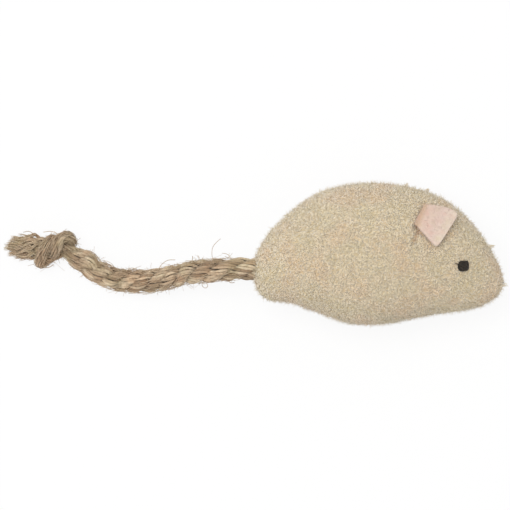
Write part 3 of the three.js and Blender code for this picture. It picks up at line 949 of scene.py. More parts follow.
def strewn(ground, name, mask, *how):
    """Turns a ground mesh into a piece of what is strewn on it, kept above the table."""
    mark(ground, "pile", mask)
    ground.modifiers.new("strewing", "NODES").node_group = strewing(*how)
    piece = plain_mesh(ground, name, merge=False)
    points = keep_above(mesh_points(piece.data), PILE_FLOOR)
    piece.data.vertices.foreach_set("co", points.ravel())
    piece.data.calc_loop_triangles()
    print(name, "triangles:", len(piece.data.loop_triangles))
    return piece


print("strewing: nothing goes lower than %.2f mm" % (PILE_FLOOR / MM))

# %% [markdown]
# ## The pile
# Two layers of curls cross, with their own places and turns, so that no single layer shows its ground, and
# the fine hairs come up through them. The pile is thin under the stitches, and in the crease and the pucker,
# where the real cloth is folded.

# %% Pile and fuzz of the body
PILE_LAYERS = {
    # shapes, distance apart, number a square metre, least and largest scale, lean, seed
    "low": (curls, 0.29 * MM, 3.4e6, (0.85, 1.25), 0.3, 3),
    "high": (curls, 0.29 * MM, 3.4e6, (0.7, 1.1), 0.35, 4),
    "fuzz": (fine_hairs, 0.155 * MM, 6.6e6, (0.6, 1.25), 0.8, 5),
}
PILE_SEEDS = {"right": 30, "left": 10}
BARE_PLACES = (
    # distance from what, how bare, width
    (to_place, EYE_PLACE, 1.3, 1.1 * MM),
    (to_stretch, EAR_BASE, 0.9, 0.45 * MM),
    (to_stretch, EAR_CREASE, 0.75, 0.35 * MM),
    (to_stretch, PUCKER, 0.7, 0.4 * MM),
)


def pile_mask(points):
    """How thickly the pile stands: 1 where it is whole and 0 where it is bare."""
    bare = np.zeros(len(points))
    for distance, what, depth, width in BARE_PLACES:
        bare += dent(distance(points, what), depth, width)
    bare[np.abs(points[:, 2] - SEAM_HEIGHT) < FLANK_FROM] = 0
    return np.clip(1 - bare, 0, 1)


piles = {}
for side_name, side in SIDES.items():
    for layer, (*how, seed) in PILE_LAYERS.items():
        name = "%s_pile_%s" % (side_name, layer)
        ground = half_skin(name + "_ground", side)
        mask = pile_mask(mesh_points(ground.data))
        piles[side_name, layer] = strewn(ground, name, mask, *how, PILE_SEEDS[side_name] + seed)
drop_set(curls)

# %% [markdown]
# ## Loose tufts
# Here and there sewing and handling have teased a pinch of fibres out of the pile. They break the smooth
# outline, so a few are placed where the outline shows them, each as fine tubes that are drawn together
# to a point.

# %% Loose tufts at the outline
LOOSE_TUFTS = (
    # place on the outline, and how far its point stands off, in mm
    (6.4, 16.2, 1.0),
    (11.7, 14.9, 1.1),
    (26.4, 1.7, 1.2),
    (29.5, -7.4, 0.9),
    (-21.0, 8.4, 0.8),
    (-8.4, -14.3, 0.8),
    (17.0, -13.1, 0.9),
)
LOOSE_FIBRES = 18
LOOSE_POINTS = 6
LOOSE_RADIUS = 0.036 * MM
LOOSE_OVER_SEAM = 2.0 * MM
LOOSE_MIDDLE = -2.0 * MM
LOOSE_SINK = 0.4 * MM
LOOSE_SPREAD = 0.4 * MM
LOOSE_TIP_SPREAD = 0.15 * MM
LOOSE_ENDS = (0.2, 0.9)
LOOSE_END_SPREAD = 0.17 * MM
LOOSE_CURL = 0.12 * MM


def loose_tuft(x, y, reach):
    """A pinch of fibres that point away from the body's middle, drawn together towards a tip."""
    root = np.array([x * MM, y * MM, SEAM_HEIGHT + rng.uniform(0, LOOSE_OVER_SEAM)])
    outward = unit(root - np.array([0, LOOSE_MIDDLE, root[2]]))
    tip = root + outward * reach * MM + rng.normal(0, LOOSE_TIP_SPREAD, 3)
    share = np.linspace(0, 1, LOOSE_POINTS)[:, None]
    lines = []
    for _ in range(LOOSE_FIBRES):
        start = root - outward * LOOSE_SINK + rng.normal(0, LOOSE_SPREAD, 3)
        end = between(root, tip, rng.uniform(*LOOSE_ENDS)) + rng.normal(0, LOOSE_END_SPREAD, 3)
        curl = rng.normal(0, LOOSE_CURL, 3) * np.sin(np.pi * share)
        lines.append(between(start, end, share) + curl)
    return lines


loose_lines = [line for tuft_place in LOOSE_TUFTS for line in loose_tuft(*tuft_place)]
loose = tubes("plush_loose_tufts", loose_lines, [LOOSE_RADIUS] * len(loose_lines), sides=4)
loose = shade_islands(loose, seed=8)
print("loose tufts:", len(LOOSE_TUFTS), "with", len(loose.data.polygons), "faces")

# %% [markdown]
# ## Ears
# Each ear is a four-sided scrap of felt, caught by its short edge in the dart and folded forward on the
# head. A flat grid gives enough points to bend: it comes up out of the dart in a round fold, is laid over
# the head's own form, lifts towards its tip and curls a little at the corners. Solidify gives it the felt's
# thickness, Bevel takes the sharpness off the cut edge, and the same fine hairs as on the plush, but
# shorter, make it fuzzy.

# %% Form of the ears
EAR_TIP = ((18.3 * MM, 9.4 * MM), (12.75 * MM, 1.35 * MM))
EAR_FOLD = 0.085
EAR_FOLD_WIDTH = 2.2 * EAR_FOLD
# heights over the head, in mm
EAR_ROOT = -0.75
EAR_FOLD_RISE = 1.75
EAR_SAG = 0.1
EAR_TIP_RISE = 0.75
EAR_CORNER_RISE = 0.6
EAR_SWAY = 0.16
EAR_SWAY_TURN, EAR_SWAY_START = 5.0, 1.0


def ear_place(out, down):
    """A place on the ear's four-sided outline: out from base to tip, down from back edge to front edge."""
    base = between(np.array(EAR_BASE[0]), np.array(EAR_BASE[1]), down)
    tip = between(np.array(EAR_TIP[0]), np.array(EAR_TIP[1]), down)
    return between(base, tip, out)


def ear_lift(out, down):
    """Height of the felt's middle over the head: up from the dart, over a round fold, free at the tip."""
    fold = np.clip((out + EAR_FOLD) / EAR_FOLD_WIDTH, 0, 1)
    rise = EAR_FOLD_RISE * np.sqrt(1 - (1 - fold) ** 2) - EAR_SAG * out + EAR_TIP_RISE * out**2
    corners = EAR_CORNER_RISE * np.clip(out, 0, 1) ** 3 * (2 * down - 1) ** 2
    sway = EAR_SWAY * np.sin(EAR_SWAY_TURN * down + EAR_SWAY_START) * out
    return (EAR_ROOT + rise + corners + sway) * MM


print("ear: its tip stands %.2f mm over the head" % (ear_lift(1.0, 0.5) / MM))

# %% Felt ears
EAR_CELLS = 20
EAR_CORNER = 0.07
EAR_CORNER_POWER = 6
EAR_FOLD_BACK = 0.2
EAR_BULGE = 0.5 * MM * np.array((0.26, 0.97))
FELT_THICKNESS = 0.9 * MM
FELT_EDGE = 0.24 * MM
EAR_FLOOR = FELT_THICKNESS / 2 + TABLE_CLEAR
# distance apart, number a square metre, least and largest scale, lean
EAR_HAIRS = (0.2 * MM, 8.0e6, (0.4, 0.7), 1.1)
EAR_SEEDS = {"right": 61, "left": 59}


def felt_ear(name, side):
    bm = bmesh.new()
    bmesh.ops.create_grid(bm, x_segments=EAR_CELLS, y_segments=EAR_CELLS, size=1)
    reach = bm.verts.layers.float.new("reach")
    for vert in bm.verts:
        along, across = vert.co.x, vert.co.y
        rounding = EAR_CORNER * max(along, 0) ** EAR_CORNER_POWER * across**EAR_CORNER_POWER
        down = (1 + across * (1 - rounding)) / 2
        fold = EAR_FOLD * between(EAR_FOLD_BACK, 1, down)
        out = (1 + fold) * (1 + along * (1 - rounding)) / 2 - fold
        place = ear_place(out, down) + EAR_BULGE * max(0, 4 * out * (1 - out)) * (1 - down)
        height = flank_points(place)[0][2] + ear_lift(out, down) / flank_normals(place)[0][2]
        vert.co = (*place, max(from_seam(height, side), EAR_FLOOR))
        vert[reach] = out
    bmesh.ops.recalc_face_normals(bm, faces=bm.faces)
    ear = new_object(name, mesh_of(bm, name))
    wall = ear.modifiers.new("felt", "SOLIDIFY")
    wall.thickness = FELT_THICKNESS
    wall.offset = 0
    edge = ear.modifiers.new("cut edge", "BEVEL")
    edge.width = FELT_EDGE
    edge.segments = 2
    edge.limit_method = "ANGLE"
    return plain_mesh(ear, name)


ears = {}
ear_fuzz = {}
for side_name, side in SIDES.items():
    ear = felt_ear(side_name + "_ear_felt", side)
    ears[side_name] = ear
    low, high = mesh_points(ear.data).min(0) / MM, mesh_points(ear.data).max(0) / MM
    print(side_name, "ear:", low.round(1), "to", high.round(1))
    ground = new_object(ear.name + "_ground", ear.data.copy())
    how = (fine_hairs, *EAR_HAIRS, EAR_SEEDS[side_name])
    ear_fuzz[side_name] = strewn(ground, side_name + "_ear_fuzz", 1.0, *how)
drop_set(fine_hairs)

# %% [markdown]
# ## Stitches at the ears
# A few over-stitches hold each ear's folded base down in its dart. Little shows of them, so each is one
# short tube: in behind the ear, over its base and in again, a step further on.

# %% Ear stitches
STITCHES = 4
STITCH_THREAD = 0.16 * MM
STITCH_STEP = 0.15 * MM
STITCH_BITES = (
    # out and down on the ear's outline, and height over the head
    (-0.12, 0.0, -1.3 * MM),
    (-0.03, 0.0, -0.45 * MM),
    (0.07, 0.04, -0.35 * MM),
)


def ear_stitches(name, side):
    """Short over-stitches along the base of the ear, down in the dart."""
    lines = []
    for number in range(STITCHES):
        down = (number + 0.5) / STITCHES
        places = np.array([ear_place(out, down + further) for out, further, _ in STITCH_BITES])
        heights = np.array([height for _, _, height in STITCH_BITES])
        points = flank_points(places) + flank_normals(places) * heights[:, None]
        points[:, 2] = from_seam(points[:, 2], side)
        lines.append(smooth_line(points, STITCH_STEP))
    return tubes(name, lines, [STITCH_THREAD] * STITCHES)


stitches = {side_name: ear_stitches(side_name + "_ear_sewing", side) for side_name, side in SIDES.items()}
print("ear stitches:", STITCHES, "on each side")

# %% [markdown]
# ## Eyes
# The eyes aren't beads: they are black thread, wound and knotted on the spot. A dark ball with a bump map
# would look moulded, so one line winds round a flat ball while the plane of its turns creeps on, as on a
# ball of wool. Three cut ends stand off.

# %% Thread eyes
EYE_RADIUS = 1.24 * MM
EYE_NARROW = 0.9
EYE_HEIGHT = 0.62 * MM
EYE_THREAD = 0.2 * MM
EYE_TURNS = 15
EYE_TURN_POINTS = 26
EYE_CREEP = 0.382
EYE_LEAN, EYE_LEAN_SWING, EYE_LEAN_RATE = 0.9, 0.5, 0.23
EYE_UNEVEN, EYE_UNEVEN_RATE = 0.07, 0.83
EYE_BUMP, EYE_BUMPS = 0.09, 4
EYE_END_STEP = 0.12 * MM
EYE_ENDS = (
    # away from the eye's middle along X and Y, and height over the head, in mm, in the order of the line
    ((-0.5, 0.2, 0.8), (-1.4, 0.45, 0.7), (-2.3, 0.6, 0.45)),
    ((0.2, 0.3, 0.85), (0.55, 0.9, 0.75), (0.8, 1.3, 0.5)),
    ((0.4, -0.3, 0.8), (0.7, -0.7, 0.6), (0.9, -1.0, 0.35)),
)


def wound_thread():
    """A line that winds round a flat, uneven ball."""
    turn = np.linspace(0, 2 * np.pi * EYE_TURNS, EYE_TURN_POINTS * EYE_TURNS)
    plane = turn * EYE_CREEP
    lean = EYE_LEAN + EYE_LEAN_SWING * np.sin(turn * EYE_LEAN_RATE)
    x = np.cos(turn) * np.cos(plane) - np.sin(turn) * np.sin(plane) * np.cos(lean)
    y = np.cos(turn) * np.sin(plane) + np.sin(turn) * np.cos(plane) * np.cos(lean)
    z = np.sin(turn) * np.sin(lean)
    bumps = EYE_BUMP * np.cos(EYE_BUMPS * np.arctan2(y, x) + np.pi) * np.hypot(x, y)
    reach = EYE_RADIUS * (1 + EYE_UNEVEN * np.cos(turn * EYE_UNEVEN_RATE) + bumps)
    return np.column_stack([reach * x, EYE_NARROW * reach * y, EYE_HEIGHT * z])


def thread_eye(name, side):
    middle = flank_points(EYE_PLACE)[0]
    out = flank_normals(EYE_PLACE)[0]
    right = unit(np.cross((0, 1, 0), out))
    up = np.cross(out, right)
    ends = [smooth_line(np.array(end) * MM, EYE_END_STEP) for end in EYE_ENDS]
    lines = []
    for line in (wound_thread(), *ends):
        points = middle + line[:, :1] * right + line[:, 1:2] * up + line[:, 2:] * out
        points[:, 2] = from_seam(points[:, 2], side)
        lines.append(points)
    radii = [EYE_THREAD] + [np.linspace(EYE_THREAD, EYE_THREAD / 2, len(end)) for end in ends]
    return tubes(name, lines, radii)


eyes = {side_name: thread_eye(side_name + "_eye_knot", side) for side_name, side in SIDES.items()}
print("eyes:", [len(eye.data.polygons) for eye in eyes.values()], "faces")

# %% [markdown]
# ## The frayed end
# Past the knot the strands come undone into a brush of fibres, wider than the rope and longer in the middle.
# Loose fibre hangs together in locks, so the brush is made of locks: each has its own end, wave and sweep,
# and its fibres lie close to it at first and leave it towards their ends. The ends lie on a rounded, ragged
# front.

# %% Locks of the tuft
TUFT_ROOT = np.array([-79.6, 2.0, 3.0]) * MM
TUFT_ROOT_LEAN = 0.45
TUFT_ROOT_SPREAD = (2.0 * MM, 1.5 * MM)
TUFT_FRONT = np.array([-90.4, 1.7, 2.75]) * MM
TUFT_FRONT_SPREAD = (2.9 * MM, 2.4 * MM)
TUFT_FRONT_POWER = 1.7
TUFT_FRONT_ROUND = 0.5 * MM / MM**TUFT_FRONT_POWER
TUFT_POINTS = 18
LOCKS = 26
LOCK_TURN = 2.4
LOCK_RAGGED = (-0.2 * MM, 0.8 * MM)
LOCK_SWELL = 0.3 * MM
LOCK_WAVE = (0.25 * MM, 0.6 * MM)
LOCK_WAVE_TURNS = (9, 17)
LOCK_WAVE_POWER = 0.6
LOCK_WAVE_SHARES = np.array([0.3, 1, 1])


def lock_middle(turn, out):
    """The middle line of one lock, from the knot to the brush's front."""
    share = np.linspace(0, 1, TUFT_POINTS)[:, None]
    across, over = out * np.cos(turn), out * np.sin(turn)
    root = TUFT_ROOT + (0, across * TUFT_ROOT_SPREAD[0], over * TUFT_ROOT_SPREAD[1])
    root[0] += TUFT_ROOT_LEAN * (root[1] - TUFT_ROOT[1])
    front = TUFT_FRONT + (0, across * TUFT_FRONT_SPREAD[0], over * TUFT_FRONT_SPREAD[1])
    off_middle = np.linalg.norm(front - TUFT_FRONT)
    front[0] += TUFT_FRONT_ROUND * off_middle**TUFT_FRONT_POWER + rng.uniform(*LOCK_RAGGED)
    swelling = LOCK_SWELL * np.sin(np.pi * share) * np.array([0, across, over])
    height = rng.uniform(*LOCK_WAVE)
    wave = height * np.sin(share * rng.uniform(*LOCK_WAVE_TURNS) + rng.uniform(0, ANY_PHASE, 3))
    free = np.sin(np.pi * share**LOCK_WAVE_POWER) * LOCK_WAVE_SHARES
    return between(root, front, share) + swelling + wave * free


print("locks:", LOCKS, "of", TUFT_POINTS, "points")

# %% Fibres of the tuft
LOCK_FIBRES = 24
FIBRE_TURN = (-2.2, 2.2)
FIBRE_REACH = (0.08 * MM, 0.42 * MM)
FIBRE_CLOSE, FIBRE_SPLAY = 0.55, 1.3
FIBRE_ENDS = (-0.16, 0.06)
FIBRE_SWING = (0.12 * MM, 0.2)
FIBRE_RADII = (0.05 * MM, 0.12 * MM)
FIBRE_TAPER, FIBRE_TIP = 3.0, 0.3


def lock_fibre(middle):
    """One fibre of a lock: it winds slowly about the lock's middle and ends on its own."""
    share = np.linspace(0, 1, TUFT_POINTS)
    turn = rng.uniform(0, 2 * np.pi) + share * rng.uniform(*FIBRE_TURN)
    reach = rng.uniform(*FIBRE_REACH) * (FIBRE_CLOSE + FIBRE_SPLAY * share**2)
    line = middle + (middle[-1] - middle[0]) * share[:, None] * rng.uniform(*FIBRE_ENDS)
    line[:, 1] += reach * np.cos(turn) + wander(share, *FIBRE_SWING)
    line[:, 2] += reach * np.sin(turn) + wander(share, *FIBRE_SWING)
    radius = rng.uniform(*FIBRE_RADII) * np.minimum(1, (1 - share) * FIBRE_TAPER + FIBRE_TIP)
    return keep_above(line, radius + TABLE_CLEAR), radius


tuft_fibres = []
for number in range(LOCKS):
    lock = lock_middle(number * LOCK_TURN, np.sqrt((number + 0.5) / LOCKS))
    tuft_fibres += [lock_fibre(lock) for _ in range(LOCK_FIBRES)]
tuft = tubes("tail_tuft_fibres", *zip(*tuft_fibres), sides=4)
tuft = shade_islands(tuft, seed=5, least=0.3)
print("tuft:", len(tuft.data.polygons), "faces in", len(tuft_fibres), "fibres")

# %% [markdown]
# ## Stray fibres
# Jute is hairy. Very short hairs stand off all along the rope, each leaving it at a slant and bending its
# own way, others lie across its strands, and a few long ones are placed where they catch the eye.
# They are a separate piece, so that the rope keeps a clean measure.

# %% Hairs along the rope
HAIRY_FROM = 13.0 * MM
# how many points of the rope's end stay free of each kind
SHORT_END, LYING_END = 6, 24
SHORT_POINTS = 6
# a short hair's start, as a share of the rope's radius, its slant and its bend
SHORT_ROOT = 0.88
SHORT_OUT = 0.6
SHORT_ALONG = (0.3, 1.6)
SHORT_AROUND = (-0.8, 0.8)
SHORT_BEND = 0.55
# its least length, the most that is added, and the spread of what is added
SHORT_LEAST = 0.35 * MM
SHORT_MORE = 1.3 * MM
SHORT_GAMMA = (1.4, 0.42 * MM)
# how a lying hair drifts round the rope, its length in points of the rope, and its height on it
LYING_DRIFT = (-0.12, 0.05)
LYING_LENGTH = (8, 22)
LYING_ROOT = 0.93
LYING_TIP = (0.98, 1.12)


def rope_surface(number, turn):
    """The direction out of the rope at a turn round it."""
    return rope_side[number] * np.cos(turn) + rope_up[number] * np.sin(turn)


def any_place(before_end):
    """A point of the rope outside the body, and a turn round the rope."""
    number = rng.integers(np.searchsorted(rope_run, HAIRY_FROM), len(rope_line) - before_end)
    return number, rng.uniform(0, 2 * np.pi)


def short_hair():
    """One hair that starts in the rope's surface, slants along it and bends away."""
    number, turn = any_place(SHORT_END)
    outward = rope_surface(number, turn)
    along = rope_ahead[number] * rng.choice([-1, 1]) * rng.uniform(*SHORT_ALONG)
    around = np.cross(rope_ahead[number], outward) * rng.uniform(*SHORT_AROUND)
    length = SHORT_LEAST + min(rng.gamma(*SHORT_GAMMA), SHORT_MORE)
    share = np.linspace(0, 1, SHORT_POINTS)[:, None]
    start = rope_line[number] + outward * rope_radius[number] * SHORT_ROOT
    bend = rng.normal(0, SHORT_BEND, 3) * share**2
    return start + length * share * (unit(outward * SHORT_OUT + along + around) + bend)


def lying_hair():
    """One hair that lies on the rope and crosses its strands."""
    first, turn = any_place(LYING_END)
    drift = rng.uniform(*LYING_DRIFT)
    numbers = np.arange(first, first + rng.integers(*LYING_LENGTH), 2)
    height = np.linspace(LYING_ROOT, rng.uniform(*LYING_TIP), len(numbers))
    around = [rope_surface(number, turn + drift * (number - first)) for number in numbers]
    return rope_line[numbers] + np.array(around) * (rope_radius[numbers] * height)[:, None]


print("hairs: from %.0f mm along the rope" % (HAIRY_FROM / MM))

# %% Stray fibres
LONG_HAIRS = (
    # places along each hair, in mm
    ((-39.0, -2.4, 14.6), (-39.5, -0.2, 15.6), (-39.3, 1.6, 15.8), (-38.4, 2.8, 15.4), (-37.5, 3.6, 14.8)),
    ((-34.9, -1.6, 15.6), (-35.4, -0.4, 15.6), (-36.3, 0.1, 15.2), (-37.1, 0.2, 14.8)),
    ((-53.0, -4.2, 8.0), (-51.4, -2.2, 8.9), (-50.2, -1.5, 9.0), (-48.5, -1.4, 8.8)),
    ((-66.4, -1.5, 5.0), (-64.8, -1.9, 5.2), (-63.8, -2.6, 5.0), (-63.3, -4.2, 4.6)),
    ((-42.0, -2.6, 13.4), (-41.9, -1.6, 13.8), (-41.8, -0.9, 13.9)),
    ((-44.3, -3.0, 12.4), (-44.2, -1.6, 12.9), (-44.2, -0.5, 13.0)),
    ((-41.6, -6.2, 10.6), (-42.0, -7.5, 10.2), (-41.2, -8.2, 10.2), (-40.6, -7.6, 10.6), (-41.0, -6.9, 10.8)),
    ((-47.6, -7.2, 7.6), (-48.7, -8.3, 7.2), (-50.0, -8.7, 7.0)),
    ((-52.6, -8.6, 4.8), (-54.2, -9.5, 4.4), (-56.6, -9.8, 4.0)),
    ((-76.6, 4.6, 6.4), (-77.9, 5.3, 6.2), (-79.0, 5.5, 5.8), (-80.6, 5.3, 5.2)),
    ((-79.3, 3.2, 4.6), (-78.9, 4.4, 5.2), (-78.6, 5.2, 5.4)),
    ((-82.2, 3.9, 4.6), (-83.1, 4.9, 4.6), (-84.2, 5.5, 4.4), (-85.6, 5.3, 4.0)),
    ((-82.7, 3.6, 4.4), (-83.6, 4.5, 4.3), (-84.4, 4.8, 4.2)),
    ((-78.4, -2.6, 2.4), (-79.8, -3.3, 2.0), (-81.6, -2.9, 1.8), (-83.2, -2.1, 1.7)),
    ((-72.6, -2.6, 2.6), (-72.0, -3.9, 2.2), (-71.2, -4.8, 1.8)),
    ((-73.8, -1.6, 3.0), (-73.9, -2.8, 2.6), (-73.4, -3.8, 2.2)),
    ((-60.6, -4.2, 5.6), (-59.3, -3.4, 5.8), (-58.0, -3.6, 5.6)),
    ((-36.0, -6.2, 11.6), (-35.0, -6.9, 11.4), (-34.2, -6.8, 11.4)),
)
LONG_STEP = 0.35 * MM
SHORT_HAIRS = 1100
LYING_HAIRS = 420
STRAY_RADII = (
    # how many hairs, and their least and largest radius
    (len(LONG_HAIRS), 0.05 * MM, 0.08 * MM),
    (SHORT_HAIRS, 0.02 * MM, 0.042 * MM),
    (LYING_HAIRS, 0.03 * MM, 0.06 * MM),
)
STRAY_CLEAR = 0.1 * MM

hairs = [smooth_line(np.array(hair) * MM, LONG_STEP) for hair in LONG_HAIRS]
hairs += [short_hair() for _ in range(SHORT_HAIRS)]
hairs += [lying_hair() for _ in range(LYING_HAIRS)]
hairs = [keep_above(hair, STRAY_CLEAR) for hair in hairs]
hair_radii = [rng.uniform(thin, thick) for count, thin, thick in STRAY_RADII for _ in range(count)]
strays = tubes("tail_stray_fibres", hairs, hair_radii, sides=4)
strays = shade_islands(strays, seed=6, least=0.4)
print("stray fibres:", len(hairs), "with", len(strays.data.polygons), "faces")

# %% [markdown]
# ## Finishes
# Every material here is matte fibre, so one helper sets up the shader: rough, with a little sheen, which is
# the light that fuzz catches at a grazing angle. Colours are written as they look on a screen, in 0 to 255,
# and changed to the linear values that a shader takes. What differs is the pattern, and every pattern is a
# colour ramp on noise or on an attribute, multiplied on.

# %% Material helpers
SPECULAR = 0.15
SHEEN_ROUGHNESS = 0.6
# sockets of the Mix node for colours
MIX_SHARE, MIX_FIRST, MIX_SECOND, MIX_OUT = 0, 6, 7, 2


def screen(red, green, blue):
    """A linear colour from screen values."""
    share = np.array([red, green, blue]) / 255
    linear = np.where(share <= 0.04045, share / 12.92, ((share + 0.055) / 1.055) ** 2.4)
    return (*linear, 1.0)


def grey(level):
    return (level, level, level, 1.0)


class Finish:
    """A fibre material that is built up node by node."""

    def __init__(self, name, roughness, sheen):
        self.material = new_material(name)
        self.nodes = self.material.node_tree.nodes
        self.link = self.material.node_tree.links.new
        self.shader = self.nodes.new("ShaderNodeBsdfPrincipled")
        self.shader.inputs["Roughness"].default_value = roughness
        self.shader.inputs["Specular IOR Level"].default_value = SPECULAR
        self.shader.inputs["Sheen Weight"].default_value = sheen
        self.shader.inputs["Sheen Roughness"].default_value = SHEEN_ROUGHNESS
        out = self.nodes.new("ShaderNodeOutputMaterial")
        self.link(self.shader.outputs[0], out.inputs["Surface"])
        self.place = self.nodes.new("ShaderNodeTexCoord").outputs["Object"]

    def attribute(self, name):
        node = self.nodes.new("ShaderNodeAttribute")
        node.attribute_name = name
        return node.outputs["Fac"]

    def noise(self, size, detail=2.0):
        """Noise whose blotches are about the given size."""
        node = self.nodes.new("ShaderNodeTexNoise")
        node.inputs["Scale"].default_value = 1 / size
        node.inputs["Detail"].default_value = detail
        self.link(self.place, node.inputs["Vector"])
        return node.outputs["Fac"]

    def ramp(self, value, *stops):
        node = self.nodes.new("ShaderNodeValToRGB")
        while len(node.color_ramp.elements) < len(stops):
            node.color_ramp.elements.new(0.5)
        for element, (position, colour) in zip(node.color_ramp.elements, stops):
            element.position = position
            element.color = colour
        self.link(value, node.inputs["Fac"])
        return node.outputs["Color"]

    def shaded(self, colour, value, *stops):
        """A colour multiplied by a ramp on a value."""
        node = self.nodes.new("ShaderNodeMix")
        node.data_type = "RGBA"
        node.blend_type = "MULTIPLY"
        node.inputs[MIX_SHARE].default_value = 1.0
        self.link(colour, node.inputs[MIX_FIRST])
        self.link(self.ramp(value, *stops), node.inputs[MIX_SECOND])
        return node.outputs[MIX_OUT]

    def patched(self, colour, value, first, second, spread):
        """A colour with faint patches of two tints, and none between them."""
        return self.shaded(colour, value, (0.5 - spread, first), (0.5, grey(1)), (0.5 + spread, second))

    def paint(self, colour):
        self.link(colour, self.shader.inputs["Base Color"])
        return self

    def bump(self, height, depth):
        node = self.nodes.new("ShaderNodeBump")
        node.inputs["Distance"].default_value = depth
        self.link(height, node.inputs["Height"])
        self.link(node.outputs[0], self.shader.inputs["Normal"])
        return self


def dress(piece, finish):
    piece.data.materials.clear()
    piece.data.materials.append(finish.material)


print("finishes: specular level", SPECULAR, "and sheen roughness", SHEEN_ROUGHNESS)

# %% [markdown]
# ## Plush
# Undyed plush is not one beige. Each curl has a shade of its own, a few curls together make a lighter or
# darker clump, and wide patches lean to pink or to green. Where the pile is thin the backing shows, with a
# weave, and it is painted darker and browner than the curls, as painted shade in the gaps between them. The
# darts and creases, where the pile is thinned, get a browner painted shade. The fine hairs are a touch greyer
# than the curls, as painted sheen at the outline, where they stack up. Patterns on Object coordinates run on
# from piece to piece, so curls, hairs and backing take part in the same patches.

# %% Plush
PLUSH_DARK = screen(219, 201, 167)
PLUSH_LIGHT = screen(230, 214, 184)
# the fine hairs, a touch greyer than the curls: painted sheen at the outline, where they stack up
FUZZ_SHEEN_DARK = screen(215, 199, 168)
FUZZ_SHEEN_LIGHT = screen(228, 214, 187)
# the backing, painted darker and browner than the curls: painted shade in the gaps between them
GROUND_PAINTED_GAP_SHADE = screen(210, 191, 157)
PLUSH_PINK = screen(255, 249, 246)
PLUSH_GREEN = screen(252, 253, 249)
PATCH_SIZE = 6.0 * MM
PATCH_SPREAD = 0.15
CLUMP_SIZE = 0.75 * MM
CLUMP_SHADES = ((0.35, grey(0.9)), (0.65, grey(1.06)))
# painted shade, browner, in the darts and creases where the pile is thinned
CREASE_PAINTED_SHADE = ((0.3, screen(238, 215, 202)), (0.85, grey(1)))
WEAVE_SIZE = 0.6 * MM
WEAVE_DEPTH = 0.2 * MM


def plush_patches(finish, colour):
    return finish.patched(colour, finish.noise(PATCH_SIZE), PLUSH_PINK, PLUSH_GREEN, PATCH_SPREAD)


def painted_crease_shade(finish, colour):
    """Painted shade, browner, where the pile is thinned, in the darts and creases."""
    return finish.shaded(colour, finish.attribute("pile"), *CREASE_PAINTED_SHADE)


def plush_pile(name, dark, light):
    finish = Finish(name, roughness=0.95, sheen=0.8)
    colour = finish.ramp(finish.attribute("shade"), (0, dark), (1, light))
    colour = plush_patches(finish, colour)
    colour = finish.shaded(colour, finish.noise(CLUMP_SIZE, detail=1), *CLUMP_SHADES)
    return finish.paint(painted_crease_shade(finish, colour))


def plush_ground():
    finish = Finish("plush_ground", roughness=1.0, sheen=0.1)
    weave = finish.noise(WEAVE_SIZE, detail=3)
    # painted shade in the gaps: the weave runs from the darker backing to the curls' dark end
    colour = finish.ramp(weave, (0.3, GROUND_PAINTED_GAP_SHADE), (0.7, PLUSH_DARK))
    colour = painted_crease_shade(finish, plush_patches(finish, colour))
    return finish.paint(colour).bump(weave, WEAVE_DEPTH)


curl_finish = plush_pile("plush_pile", PLUSH_DARK, PLUSH_LIGHT)
fuzz_finish = plush_pile("plush_fuzz", FUZZ_SHEEN_DARK, FUZZ_SHEEN_LIGHT)
ground_finish = plush_ground()
for (_, layer), pile in piles.items():
    dress(pile, fuzz_finish if layer == "fuzz" else curl_finish)
for panel in panels.values():
    # the pile attribute on the backing also places the painted crease shade
    mark(panel, "pile", pile_mask(mesh_points(panel.data)))
    dress(panel, ground_finish)
mark(loose, "pile", 1.0)
dress(loose, curl_finish)
print("plush:", len(piles), "layers of pile on", len(panels), "panels")

# %% [markdown]
# ## Jute
# Jute yarns differ in shade from brown to straw, with streaks along them, and the grooves between the
# strands lie in shadow. Light alone leaves these too pale at this size, so each point of the rope gets its
# distance from the rope's middle as an attribute, and what lies deep is darkened. The fibres of the tuft
# and the strays count as outermost.

# %% Jute
JUTE_SHADES = ((0, screen(143, 120, 95)), (0.5, screen(189, 164, 135)), (1, screen(218, 199, 170)))
JUTE_RUST = screen(255, 246, 240)
JUTE_STRAW = screen(250, 252, 244)
JUTE_PATCH = 4.0 * MM
STREAK_SIZE = 0.7 * MM
STREAK_SHADES = ((0.3, grey(0.72)), (0.6, grey(1)), (0.8, grey(1.1)))
# painted shade in the grooves between the strands, darker where a point lies deep
GROOVE_PAINTED_SHADE = ((0.6, grey(0.3)), (0.85, grey(1)))
JUTE_GRAIN = 0.35 * MM
JUTE_GRAIN_DEPTH = 0.1 * MM


def jute():
    finish = Finish("jute", roughness=0.85, sheen=0.15)
    colour = finish.ramp(finish.attribute("shade"), *JUTE_SHADES)
    colour = finish.shaded(colour, finish.noise(STREAK_SIZE, detail=4), *STREAK_SHADES)
    colour = finish.patched(colour, finish.noise(JUTE_PATCH), JUTE_RUST, JUTE_STRAW, PATCH_SPREAD)
    # painted shade: deep points of the rope are darkened
    colour = finish.shaded(colour, finish.attribute("crown"), *GROOVE_PAINTED_SHADE)
    return finish.paint(colour).bump(finish.noise(JUTE_GRAIN, detail=3), JUTE_GRAIN_DEPTH)


def crowns(piece):
    """How far out from the rope's middle each point lies, as a share of the rope's radius there."""
    tree = KDTree(len(rope_line))
    for number, place in enumerate(rope_line):
        tree.insert(place, number)
    tree.balance()
    nearest = [tree.find(vert.co) for vert in piece.data.vertices]
    return [distance / rope_radius[number] for _, number, distance in nearest]


jute_finish = jute()
for fibres, crown in ((rope, crowns(rope)), (tuft, 1.0), (strays, 1.0)):
    mark(fibres, "crown", crown)
    dress(fibres, jute_finish)
print("jute: rope, tuft and stray fibres")
